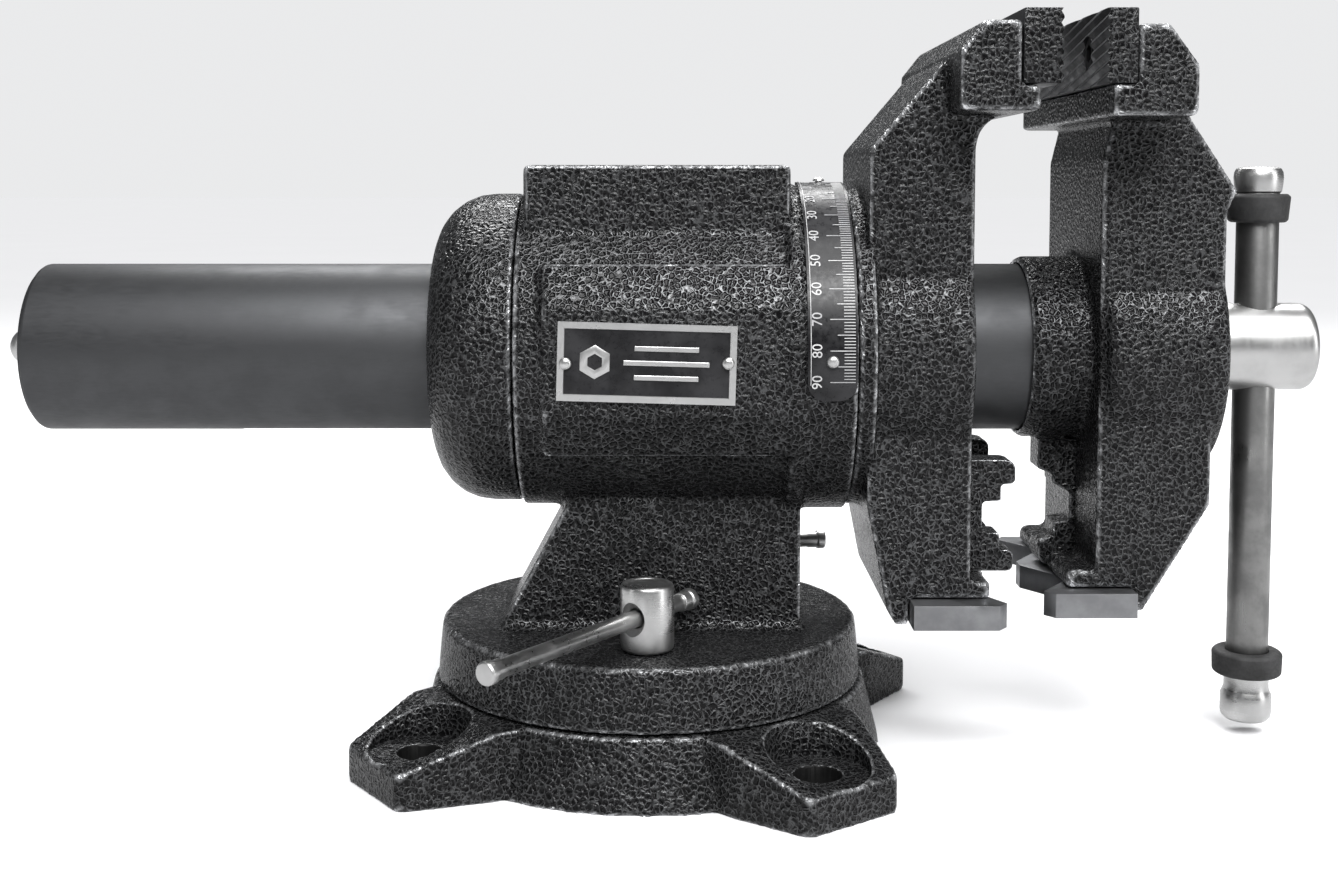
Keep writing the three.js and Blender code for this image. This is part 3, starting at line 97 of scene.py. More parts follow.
class CastingSettings(bpy.types.PropertyGroup):
    """How finely the castings are made."""

    grain: FloatProperty(name="Grain", description="Mesh size on the body", default=0.00125, unit="LENGTH")
    fine_grain: FloatProperty(
        name="Fine grain", description="Mesh size on the pipe jaws", default=0.0005, unit="LENGTH"
    )
    softening: IntProperty(name="Softening", description="Passes that round the cast edges", default=3)


class InsertSettings(bpy.types.PropertyGroup):
    """Grooves in the working faces of the jaw inserts."""

    pitch: FloatProperty(name="Pitch", description="From groove to groove", default=0.0034, unit="LENGTH")
    depth: FloatProperty(name="Depth", description="Depth of a groove", default=0.0011, unit="LENGTH")
    slant: FloatProperty(
        name="Slant", description="Angle of the grooves", default=math.radians(9), subtype="ANGLE"
    )


class ThreadSettings(bpy.types.PropertyGroup):
    """Thread of the main screw."""

    pitch: FloatProperty(name="Pitch", description="Advance in one turn", default=0.005, unit="LENGTH")
    depth: FloatProperty(name="Depth", description="Depth of the thread", default=0.0022, unit="LENGTH")


class ScaleSettings(bpy.types.PropertyGroup):
    """Marks on the angle scale."""

    first_angle: FloatProperty(
        name="First angle", description="Place of the 90 mark", default=math.radians(-6), subtype="ANGLE"
    )
    number_height: FloatProperty(
        name="Number height", description="Height of a figure", default=0.0032, unit="LENGTH"
    )


class StageSettings(bpy.types.PropertyGroup):
    """Floor, lights and camera."""

    floor: FloatVectorProperty(
        name="Floor", description="Colour of the floor", default=(0.93, 0.93, 0.94), subtype="COLOR"
    )
    floor_bounce: FloatProperty(
        name="Floor bounce", description="Share of its colour that the floor lights pieces with", default=0.6
    )
    key_power: FloatProperty(name="Key light", description="Light from the front", default=12, unit="POWER")
    side_power: FloatProperty(name="Side light", description="Light from the right", default=4, unit="POWER")
    daylight: FloatProperty(name="Daylight", description="Strength of the light from above", default=2.9)
    surround: FloatProperty(name="Surround", description="Brightness of the room", default=0.14)


# ---------------- picking and shaping
def leave_edit():
    if bpy.context.mode != "OBJECT":
        bpy.ops.object.mode_set(mode="OBJECT")


def pick_nothing():
    leave_edit()
    bpy.ops.object.select_all(action="DESELECT")


def pick(piece):
    pick_nothing()
    piece.select_set(True)
    bpy.context.view_layer.objects.active = piece


def enter_edit(piece, part="VERT"):
    """Edit mode with everything selected, ready to pick by vertex, edge or face."""
    pick(piece)
    bpy.ops.object.mode_set(mode="EDIT")
    bpy.ops.mesh.select_mode(type=part)
    bpy.ops.mesh.select_all(action="SELECT")


def settle(piece):
    """The piece's place, turn and size go into its mesh."""
    pick(piece)
    bpy.ops.object.transform_apply(location=True, rotation=True, scale=True)
    return piece


def shape(piece, kind, **values):
    """Adds one modifier and applies it."""
    pick(piece)
    bpy.ops.object.modifier_add(type=kind)
    modifier = piece.modifiers[-1]
    for name, value in values.items():
        setattr(modifier, name, value)
    bpy.ops.object.modifier_apply(modifier=modifier.name)


def soften_edges(piece, width, angle=30):
    limit = math.radians(angle)
    shape(piece, "BEVEL", width=width * MM, segments=2, limit_method="ANGLE", angle_limit=limit)


def smooth_faces(piece, angle=35):
    pick(piece)
    bpy.ops.object.shade_smooth_by_angle(angle=math.radians(angle))


def name_piece(name):
    piece = bpy.context.object
    piece.name = name
    piece.data.name = name
    return piece


def weld(piece):
    enter_edit(piece)
    bpy.ops.mesh.remove_doubles(threshold=0.01 * MM)
    bpy.ops.mesh.normals_make_consistent(inside=False)
    leave_edit()


def turned(name, profile, centre, direction, sides=72, closed=False, edge=0.4):
    """A piece made on the lathe: a circle drawn out along its axis.

    The profile is (radius, place along the axis) in millimetres. A closed one has a bore."""
    pick_nothing()
    radius, start = profile[0]
    bpy.ops.mesh.primitive_circle_add(vertices=sides, radius=radius * MM, location=(0, 0, start * MM))
    piece = name_piece(name)
    enter_edit(piece)
    for (r0, s0), (r1, s1) in zip(profile, profile[1:]):
        bpy.ops.mesh.extrude_region_move(TRANSFORM_OT_translate={"value": (0, 0, (s1 - s0) * MM)})
        bpy.ops.transform.resize(value=(r1 / r0, r1 / r0, 1), center_override=(0, 0, s1 * MM))
    if not closed:
        bpy.ops.mesh.edge_face_add()
        bpy.ops.mesh.select_all(action="DESELECT")
        bpy.ops.mesh.select_non_manifold()
        bpy.ops.mesh.edge_face_add()
    settle(piece)
    weld(piece)
    if edge:
        soften_edges(piece, edge)
    piece.rotation_mode = "QUATERNION"
    piece.rotation_quaternion = Vector(direction).to_track_quat("Z", "Y")
    piece.location = centre
    settle(piece)
    smooth_faces(piece)
    return piece


def rod(radius, start, end, centre, direction, sides=32):
    """A plain rod used to cut with."""
    return turned("cutter", [(radius, start), (radius, end)], centre, direction, sides, edge=0)


def flared_rod(radius, flare, reach, centre, direction, sides):
    """Cuts a cross hole: a rod that opens out at 45 degrees past flare, on both sides of its centre."""
    mouth = radius + reach - flare
    profile = [(mouth, -reach), (radius, -flare), (radius, flare), (mouth, reach)]
    cutter = turned("cutter", profile, Vector(), UPWARD, sides, edge=0)
    cutter.rotation_mode = "QUATERNION"
    quarter_facet = Quaternion(UPWARD, math.pi / 2 / sides)  # keeps its edges off the edges of the piece
    cutter.rotation_quaternion = Vector(direction).to_track_quat("Z", "Y") @ quarter_facet
    cutter.location = centre
    return settle(cutter)


def slab(name, low, high, edge=0.5):
    pick_nothing()
    low, high = Vector(low), Vector(high)
    bpy.ops.mesh.primitive_cube_add(size=1, location=(low + high) / 2, scale=high - low)
    piece = settle(name_piece(name))
    if edge:
        soften_edges(piece, edge)
    return piece


def carve(piece, *cutters):
    """Cuts each cutter out of the piece, and takes the cutter away."""
    for cutter in cutters:
        shape(piece, "BOOLEAN", operation="DIFFERENCE", solver="EXACT", object=cutter)
        bpy.data.meshes.remove(cutter.data)


def unite(name, pieces):
    pick_nothing()
    for piece in pieces:
        piece.select_set(True)
    bpy.context.view_layer.objects.active = pieces[0]
    bpy.ops.object.join()
    return name_piece(name)


def moved_copy(piece, name, place):
    """A copy with a mesh of its own. place is a Matrix."""
    mesh = piece.data.copy()
    mesh.transform(place)
    copy = bpy.data.objects.new(name, mesh)
    bpy.context.scene.collection.objects.link(copy)
    return copy


def from_frame(name, node):
    """A welded copy of a frame part, to be worked on."""
    piece = moved_copy(frame["nodes"][node], name, Matrix.Identity(4))
    pick(piece)
    bpy.ops.mesh.customdata_custom_splitnormals_clear()
    weld(piece)
    return piece


def fit(piece, body, slot, finishes, *nodes):
    """Gives the piece its finishes, and puts it on its body in place of the frame's nodes."""
    piece.data.materials.clear()
    for finish in finishes if isinstance(finishes, (list, tuple)) else [finishes]:
        piece.data.materials.append(finish())
    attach(piece, body)
    if nodes:
        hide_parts(*nodes)
    return piece


def middle(node):
    low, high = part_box(node)
    return (low + high) / 2


# ---------------- node trees
def wire(tree, kind, sockets=None, **settings):
    """Adds a node, sets it, and joins or fills its sockets."""
    node = tree.nodes.new("ShaderNode" + kind)
    for name, value in settings.items():
        setattr(node, name, value)
    for socket, value in (sockets or {}).items():
        if isinstance(value, bpy.types.NodeSocket):
            tree.links.new(value, node.inputs[socket])
        else:
            node.inputs[socket].default_value = value
    return node


def remap(tree, value, low, high, to_low=0.0, to_high=1.0):
    sockets = {"Value": value, "From Min": low, "From Max": high, "To Min": to_low, "To Max": to_high}
    return wire(tree, "MapRange", sockets, interpolation_type="SMOOTHSTEP").outputs["Result"]


def times(tree, a, b):
    return wire(tree, "Math", {0: a, 1: b}, operation="MULTIPLY").outputs[0]


def plus(tree, a, b):
    return wire(tree, "Math", {0: a, 1: b}, operation="ADD").outputs[0]


def blend_colours(tree, share, a, b):
    mixed = wire(tree, "Mix", {0: share, 6: a, 7: b}, data_type="RGBA")
    return mixed.outputs[2]


def opaque(colour):
    return (*colour, 1.0)


def node_group(name, inputs, outputs):
    group = bpy.data.node_groups.new(name, "ShaderNodeTree")
    for socket, kind, default in inputs:
        group.interface.new_socket(socket, in_out="INPUT", socket_type=kind).default_value = default
    for socket in outputs:
        group.interface.new_socket(socket, in_out="OUTPUT", socket_type="NodeSocketFloat")
    return group, group.nodes.new("NodeGroupInput"), group.nodes.new("NodeGroupOutput")


def place_of(tree):
    return wire(tree, "TexCoord").outputs["Object"]


def noise(tree, place, scale, detail=2.0, roughness=0.5):
    sockets = {"Vector": place, "Scale": scale, "Detail": detail, "Roughness": roughness}
    return wire(tree, "TexNoise", sockets)


def hammered_cells():
    """Cells of hammered enamel: the veins between them, their height, and slow clouds."""
    inputs = [("Cells", "NodeSocketFloat", 500.0), ("Vein Width", "NodeSocketFloat", 0.2)]
    group, given, result = node_group("hammered cells", inputs, ["Veins", "Relief", "Clouds"])
    place = place_of(group)
    drift = noise(group, place, 520.0, 1.0).outputs["Color"]
    sway = (1.3 * MM,) * 3
    swayed = wire(group, "VectorMath", {0: drift, 1: sway, 2: place}, operation="MULTIPLY_ADD")
    cells = wire(
        group,
        "TexVoronoi",
        {"Vector": swayed.outputs[0], "Scale": given.outputs["Cells"]},
        feature="DISTANCE_TO_EDGE",
    ).outputs["Distance"]
    lines = remap(group, cells, 0.02, given.outputs["Vein Width"], 1.0, 0.0)
    breaks = remap(group, noise(group, place, 640.0).outputs["Fac"], 0.36, 0.6, 0.12, 1.0)
    specks = remap(group, noise(group, place, 1500.0).outputs["Fac"], 0.55, 0.72, 0.0, 0.45)
    veins = wire(group, "Math", {0: times(group, lines, breaks), 1: specks}, operation="ADD", use_clamp=True)
    height = remap(group, cells, 0.0, 0.34, 1.0, 0.0)
    clouds = noise(group, place, 22.0, 3.0).outputs["Fac"]
    group.links.new(veins.outputs[0], result.inputs["Veins"])
    group.links.new(plus(group, height, times(group, specks, 0.25)), result.inputs["Relief"])
    group.links.new(clouds, result.inputs["Clouds"])
    return group


def worn_edges():
    """Where raised edges have been rubbed, and where sharp edges get a painted highlight."""
    inputs = [("Start", "NodeSocketFloat", 0.52), ("Full", "NodeSocketFloat", 0.6)]
    group, given, result = node_group("worn edges", inputs, ["Wear"])
    # sharp edges are lightened, partly as rubbed wear and partly as a painted highlight
    sharpness = wire(group, "NewGeometry").outputs["Pointiness"]
    edges = remap(group, sharpness, given.outputs["Start"], given.outputs["Full"])
    patches = remap(group, noise(group, place_of(group), 330.0, 3.0).outputs["Fac"], 0.38, 0.6, 0.15, 1.0)
    group.links.new(times(group, edges, patches), result.inputs["Wear"])
    return group


def tool_marks():
    """Fine streaks left by the lathe or the drawing die, and soft smudges."""
    inputs = [("Grain", "NodeSocketVector", (400.0, 400.0, 400.0))]
    group, given, result = node_group("tool marks", inputs, ["Streaks", "Smudges"])
    place = place_of(group)
    stretched = wire(group, "VectorMath", {0: place, 1: given.outputs["Grain"]}, operation="MULTIPLY")
    streaks = noise(group, stretched.outputs[0], 1.0, 3.0, 0.6).outputs["Fac"]
    smudges = remap(group, noise(group, place, 75.0, 4.0, 0.6).outputs["Fac"], 0.35, 0.68)
    group.links.new(streaks, result.inputs["Streaks"])
    group.links.new(smudges, result.inputs["Smudges"])
    return group


def group_node(tree, maker, sockets):
    """Places the shader group that maker builds, with this material's own values."""
    name = maker.__name__.replace("_", " ")
    group = bpy.data.node_groups.get(name) or maker()
    return wire(tree, "Group", sockets, node_tree=group)


def blank_material(name):
    material = bpy.data.materials.new(name)
    material.use_nodes = True
    tree = material.node_tree
    return material, tree, tree.nodes["Principled BSDF"]


def connect(tree, shader, **sources):
    for socket, source in sources.items():
        tree.links.new(source, shader.inputs[socket.replace("_", " ")])


def bump(tree, height, distance, strength=1.0):
    sockets = {"Height": height, "Distance": distance, "Strength": strength}
    return wire(tree, "Bump", sockets).outputs["Normal"]


def finish(name):
    """Marks a function that makes a material, so that it is made once."""

    def keep(make):
        def made():
            return bpy.data.materials.get(name) or make(name)

        return made

    return keep


# ---------------- finishes
def enamel(name, wear_and_highlight_start):
    """Hammered enamel. Its last argument is how sharp an edge has to be before it is rubbed bright and given
    a painted highlight.
    """
    settings = bpy.context.scene.vise_paint
    material, tree, shader = blank_material(name)
    cells = group_node(tree, hammered_cells, {"Cells": 1 / settings.cell_size, "Vein Width": 0.115})
    wear_and_highlight = group_node(tree, worn_edges, {"Start": wear_and_highlight_start, "Full": wear_and_highlight_start + 0.05}).outputs["Wear"]
    veins = times(tree, cells.outputs["Veins"], remap(tree, cells.outputs["Clouds"], 0.3, 0.7, 0.6, 1.0))
    colour = blend_colours(tree, veins, opaque(settings.enamel), opaque(settings.flake))
    # near white on sharp edges: rubbed paint and a painted highlight
    rubbed_and_highlit = (0.8, 0.81, 0.83, 1.0)
    edged = blend_colours(tree, wear_and_highlight, colour, rubbed_and_highlit)
    rough = remap(tree, veins, 0.0, 1.0, 0.2, 0.34)
    metallic = remap(tree, plus(tree, veins, wear_and_highlight), 0.0, 1.0, 0.2, 0.8)
    normal = bump(tree, cells.outputs["Relief"], settings.relief)
    connect(tree, shader, Base_Color=edged, Roughness=rough, Metallic=metallic, Normal=normal)
    shader.inputs["Specular IOR Level"].default_value = 0.24
    return material


@finish("hammertone enamel")
def hammertone(name):
    return enamel(name, wear_and_highlight_start=0.52)


# enamel with no rubbed edges and no painted edge highlight
@finish("hammertone enamel, without edge wear and highlight")
def hammertone_unworn(name):
    return enamel(name, wear_and_highlight_start=2.0)  # sharper than any edge


def worked_metal(name, colour, dull, roughness, grain, relief=0.02, smudge=0.35):
    """Bare or plated metal with streaks along one direction.

    grain is how fine the streaks are along X, Y and Z, per metre."""
    material, tree, shader = blank_material(name)
    marks = group_node(tree, tool_marks, {"Grain": grain})
    share = times(tree, marks.outputs["Smudges"], smudge)
    base = blend_colours(tree, share, opaque(colour), opaque(dull))
    low, high = roughness
    rough = remap(tree, plus(tree, marks.outputs["Streaks"], share), 0.3, 1.0, low, high)
    normal = bump(tree, marks.outputs["Streaks"], relief * MM, 0.6)
    connect(tree, shader, Base_Color=base, Roughness=rough, Normal=normal)
    shader.inputs["Metallic"].default_value = 1.0
    return material


def metal(name, **look):
    """A finish of worked metal, made when a piece first takes it."""
    return finish(name)(lambda title: worked_metal(title, **look))


gunmetal = metal(
    "gunmetal tube", colour=(0.098, 0.1, 0.104), dull=(0.074, 0.075, 0.078),
    roughness=(0.46, 0.58), grain=(260.0, 1400.0, 1400.0), relief=0.01, smudge=0.3,
)
nickel_along = metal(
    "nickel plate, turned along X", colour=(0.6, 0.6, 0.595), dull=(0.4, 0.4, 0.4),
    roughness=(0.28, 0.44), grain=(5200.0, 90.0, 90.0),
)
nickel_upright = metal(
    "nickel plate, turned along Z", colour=(0.64, 0.64, 0.635), dull=(0.44, 0.44, 0.44),
    roughness=(0.24, 0.4), grain=(90.0, 90.0, 4200.0),
)
drawn_bar = metal(
    "drawn steel bar", colour=(0.29, 0.29, 0.285), dull=(0.16, 0.16, 0.16),
    roughness=(0.26, 0.44), grain=(1500.0, 1500.0, 60.0), smudge=0.7,
)
nickel_plain = metal(
    "nickel plate, all over", colour=(0.66, 0.66, 0.655), dull=(0.46, 0.46, 0.46),
    roughness=(0.26, 0.42), grain=(420.0, 420.0, 420.0), relief=0.003,
)
ground_steel = metal(
    "ground steel plate", colour=(0.34, 0.345, 0.355), dull=(0.2, 0.2, 0.21),
    roughness=(0.3, 0.5), grain=(300.0, 4200.0, 300.0), smudge=0.6,
)
machined = metal(
    "machined steel", colour=(0.42, 0.42, 0.42), dull=(0.26, 0.26, 0.26),
    roughness=(0.28, 0.48), grain=(2600.0, 700.0, 700.0),
)
hardened = metal(
    "hardened steel", colour=(0.085, 0.087, 0.092), dull=(0.04, 0.04, 0.042),
    roughness=(0.34, 0.55), grain=(900.0, 500.0, 900.0), relief=0.04, smudge=0.7,
)
blackened = metal(
    "blackened screw steel", colour=(0.05, 0.05, 0.053), dull=(0.02, 0.02, 0.02),
    roughness=(0.3, 0.5), grain=(1300.0, 1300.0, 1300.0), relief=0.01, smudge=0.6,
)
# near black: bare iron, darkened further as painted shade inside the drilled bores
bare_iron_with_painted_shade = metal(
    "bare cast iron, darkened as painted shade", colour=(0.03, 0.03, 0.03), dull=(0.012, 0.012, 0.012),
    roughness=(0.5, 0.7), grain=(700.0, 700.0, 700.0), relief=0.05, smudge=0.8,
)
bronze = metal(
    "bronze", colour=(0.52, 0.33, 0.13), dull=(0.3, 0.17, 0.06), roughness=(0.26, 0.46),
    grain=(2400.0, 300.0, 300.0), smudge=0.6,
)


def smudged(name, clean, dusty, roughness, grain, relief=0.0, gloss=0.5):
    """Rubber or print with a little dust rubbed into it."""
    material, tree, shader = blank_material(name)
    marks = group_node(tree, tool_marks, {"Grain": (grain,) * 3})
    streaks = marks.outputs["Streaks"]
    colour = blend_colours(tree, marks.outputs["Smudges"], opaque(clean), opaque(dusty))
    connect(tree, shader, Base_Color=colour, Roughness=remap(tree, streaks, 0.3, 0.7, *roughness))
    if relief:
        connect(tree, shader, Normal=bump(tree, streaks, relief * MM))
    shader.inputs["Specular IOR Level"].default_value = gloss
    return material


@finish("black rubber")
def rubber(name):
    return smudged(name, (0.012, 0.012, 0.012), (0.035, 0.035, 0.036), (0.55, 0.78), 900.0, relief=0.06)


@finish("black printed plate")
def printed_black(name):
    dark, dusty = (0.006, 0.006, 0.007), (0.028, 0.028, 0.03)
    return smudged(name, dark, dusty, (0.24, 0.42), 600.0, relief=0.01, gloss=0.3)


@finish("white scale print")
def printed_white(name):
    return smudged(name, (0.62, 0.62, 0.62), (0.36, 0.36, 0.37), (0.35, 0.55), 800.0)


# ---------------- castings
def true_round(piece, direction, centre, start, end):
    """Draws what is nearly on a cylinder or cone exactly onto it.

    start and end are (radius, place along the axis) in millimetres."""
    reach = 0.4 * MM
    (r0, s0), (r1, s1) = ((r * MM, s * MM) for r, s in (start, end))
    for vertex in piece.data.vertices:
        offset = vertex.co - centre
        along = offset.dot(direction)
        if s0 - reach < along < s1 + reach:
            out = offset - along * direction
            radius = r0 + (r1 - r0) * (along - s0) / (s1 - s0)
            if abs(out.length - radius) < reach:
                vertex.co += out.normalized() * (radius - out.length)


def cast(name, node, body, grain, passes, rounds=()):
    """A casting from its frame part: an even skin, true round surfaces and softened edges."""
    piece = from_frame(name, node)
    shape(piece, "REMESH", mode="VOXEL", voxel_size=grain)
    for direction, centre, start, end in rounds:
        true_round(piece, direction, centre, start, end)
    shape(piece, "SMOOTH", factor=0.5, iterations=passes)
    pick(piece)
    bpy.ops.object.shade_smooth()
    return fit(piece, body, "hammertone_paint", hammertone, node)


class CastingsOperator(bpy.types.Operator):
    """Make the base, body, rear cover and both jaws"""

    bl_idname = "vise.make_castings"
    bl_label = "Castings"

    def execute(self, context):
        settings = context.scene.vise_castings
        grain, passes = settings.grain, settings.softening
        floor = Vector()
        foot = [(UPWARD, floor, (77, 0), (71.5, 21.5))]
        base = cast("swivel_base", "base_casting", "base", grain * 0.75, passes, foot)
        self.drill_lugs(base)
        body = [
            (UPWARD, floor, (70.4, 21.8), (70, 27.8)),
            (UPWARD, floor, (70, 27.8), (68.8, 40.5)),
            (ALONG, AXIS, (52, -41), (52, 43)),
            (ALONG, AXIS, (54.2, 44), (54.2, 47)),
            (ALONG, AXIS, (53.4, 48), (53.4, 64)),
        ]
        cast("vise_body", "body_casting", "turntable", grain, passes, body)
        cover = [(ALONG, AXIS, (50.8, -50), (50.8, -41.3))]
        cast("rear_cover", "rear_cap", "turntable", grain * 0.8, passes + 2, cover)
        hub = [(ALONG, AXIS, (52, 64.3), (52, 70)), (ALONG, AXIS, (47, 70), (47, 99))]
        cast("fixed_jaw_casting", "fixed_jaw", "head", grain * 0.9, passes, hub)
        boss = [(ALONG, AXIS, (30, 124), (30, 146)), (ALONG, AXIS, (41.5, 148), (41.5, 178))]
        cast("moving_jaw_casting", "moving_jaw", "slider", grain * 0.85, passes, boss)
        fine = settings.fine_grain
        cast("forked_pipe_jaw", "fixed_pipe_jaw", "head", fine, passes + 1)
        cast("tongue_pipe_jaw", "moving_pipe_jaw", "slider", fine, passes + 1)
        return {"FINISHED"}

    def drill_lugs(self, base):
        """Four drilled holes, each with a spotface cut crisply into its lug. The bores stay bare, in a
        near-black finish that also paints in the shade inside them.
        """
        seat = 10.4
        bore = 7.05
        spotface = 15.75
        first_lug = 36
        reach = 86.3 * MM  # from the pivot to the middle of a hole
        profile = [(bore, -2), (bore, seat), (spotface, seat), (spotface, 24)]
        centres = []
        for turn in range(4):
            angle = math.radians(first_lug + 90 * turn)
            centres.append(Vector((math.cos(angle), math.sin(angle), 0)) * reach)
        carve(base, unite("cutter", [turned("cutter", profile, c, UPWARD, 64, edge=0) for c in centres]))
        smooth_faces(base, 50)
        # the bores get a near-black finish: bare iron plus painted shade inside the holes
        base.data.materials.append(bare_iron_with_painted_shade())
        for face in base.data.polygons:
            height = face.center.z
            out = min((Vector((face.center.x, face.center.y, 0)) - centre).length for centre in centres)
            if out < (bore + 0.3) * MM and height < (seat - 0.05) * MM:
                face.material_index = 1


# ---------------- slide tube and its end
class SlideTubeOperator(bpy.types.Operator):
    """Make the slide tube with its keyway, end cap and cap screw"""

    bl_idname = "vise.make_slide_tube"
    bl_label = "Slide tube"

    def execute(self, context):
        rear, front = TUBE_LOW.x / MM, TUBE_HIGH.x / MM
        bore = TUBE_RADIUS - 5.5
        walls = [
            (bore, rear), (TUBE_RADIUS - 1, rear), (TUBE_RADIUS, rear + 1), (TUBE_RADIUS, front),
            (bore, front), (bore, rear),
        ]
        tube = turned("slide_barrel", walls, AXIS, ALONG, 128, closed=True, edge=0.7)
        key_rear, key_front, half = -0.135, 0.005, 0.0065
        below = AXIS.z - 0.03
        carve(tube, slab("cutter", (key_rear, -half, below), (key_front, half, AXIS.z), edge=0))
        smooth_faces(tube, 30)
        fit(tube, "slider", "gunmetal_tube", gunmetal, "slide_tube")

        seat = rear - 0.1
        face = seat - 0.7
        disc = [
            (bore - 0.4, seat + 10), (bore - 0.4, seat), (TUBE_RADIUS - 1.4, seat),
            (TUBE_RADIUS - 1.8, face + 0.2), (TUBE_RADIUS - 2.6, face), (14, face),
            (12.6, face + 0.6), (7.4, face + 0.6), (6.9, face), (3.4, face), (3.4, face + 2),
        ]
        cap = turned("tube_end_cap", disc, AXIS, ALONG, 128, edge=0.15)
        fit(cap, "slider", "gunmetal_tube", gunmetal, "tube_cap")

        low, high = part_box("tube_cap_screw")
        tip, foot = low.x / MM, face - 0.2
        dome = 6.3
        head = [(3, high.x / MM), (3, foot), (dome - 0.1, foot), (dome, tip + dome)]
        for step in range(1, 8):
            turn = step * math.pi / 16
            head.append((dome * math.cos(turn), tip + dome - dome * math.sin(turn)))
        screw = turned("tube_cap_dome_screw", head, AXIS, ALONG, 48, edge=0.2)
        carve(screw, rod(1.9, tip - 1, tip + 3.2, AXIS, ALONG, 6))
        smooth_faces(screw)
        fit(screw, "slider", "plated_steel", nickel_along, "tube_cap_screw")
        return {"FINISHED"}


# ---------------- main screw and handle
def thread(name, radius, depth, pitch, start, end):
    """A helical thread: one pitch of its outline, screwed along the axis."""
    turns = int((end - start) / pitch)
    root = radius - depth
    points = [(root, 0), (root, 0.3), (radius, 0.42), (radius, 0.72), (root, 0.84), (root, 1)]
    mesh = bpy.data.meshes.new(name)
    corners = [(r, 0, start + share * pitch) for r, share in points]
    mesh.from_pydata(corners, [(k, k + 1) for k in range(len(corners) - 1)], [])
    piece = bpy.data.objects.new(name, mesh)
    bpy.context.scene.collection.objects.link(piece)
    shape(piece, "SCREW", axis="Z", screw_offset=pitch, iterations=turns, steps=32, use_merge_vertices=True)
    enter_edit(piece)
    bpy.ops.mesh.remove_doubles(threshold=0.01 * MM)
    bpy.ops.mesh.select_all(action="DESELECT")
    bpy.ops.mesh.select_non_manifold()
    bpy.ops.mesh.edge_face_add()
    leave_edit()
    weld(piece)
    return piece


class SpindleOperator(bpy.types.Operator):
    """Make the main screw with its cross-drilled head, and the thrust washer"""

    bl_idname = "vise.make_spindle"
    bl_label = "Main screw"

    def execute(self, context):
        low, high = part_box("spindle")
        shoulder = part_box("thrust_washer")[1].x / MM + 0.3
        front = high.x / MM
        radius = (high.z - low.z) / 2 / MM
        rod_radius = 11
        corner = 3.6
        bevel = 0.6
        profile = [(rod_radius, 0), (rod_radius, shoulder)]
        profile += [(radius - bevel, shoulder), (radius, shoulder + bevel)]
        for step in range(9):
            turn = step * math.pi / 16
            out = radius - corner * 0.65 * (1 - math.cos(turn))
            profile.append((out, front - corner + corner * math.sin(turn)))
        profile += [(5.6, front), (5.2, front - 0.4), (1.6, front - 0.4), (0.9, front - 1.2)]
        screw = turned("main_screw", profile, AXIS, ALONG, 96, edge=0)
        grip = Vector(JOINTS["handle_slide"]["axis"])
        cross = Vector((middle("handle_bar").x, 0, AXIS.z))
        carve(screw, flared_rod(7.15, 13.55, 20, cross, grip, 48))
        smooth_faces(screw, 30)
        settings = context.scene.vise_thread
        worm = thread("worm", rod_radius * MM, settings.depth, settings.pitch, low.x, 0.0)
        worm.rotation_euler = (0, math.pi / 2, 0)
        worm.location = AXIS
        settle(worm)
        smooth_faces(worm, 30)
        screw = unite("main_screw", [screw, worm])
        fit(screw, "screw", "plated_steel", nickel_along, "spindle")

        near, far = (corner.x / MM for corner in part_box("thrust_washer"))
        ring = [(11.4, near), (16, near), (16, far), (11.4, far), (11.4, near)]
        washer = turned("thrust_ring", ring, AXIS, ALONG, 72, closed=True, edge=0.25)
        fit(washer, "slider", "machined_steel", machined, "thrust_washer")
        return {"FINISHED"}


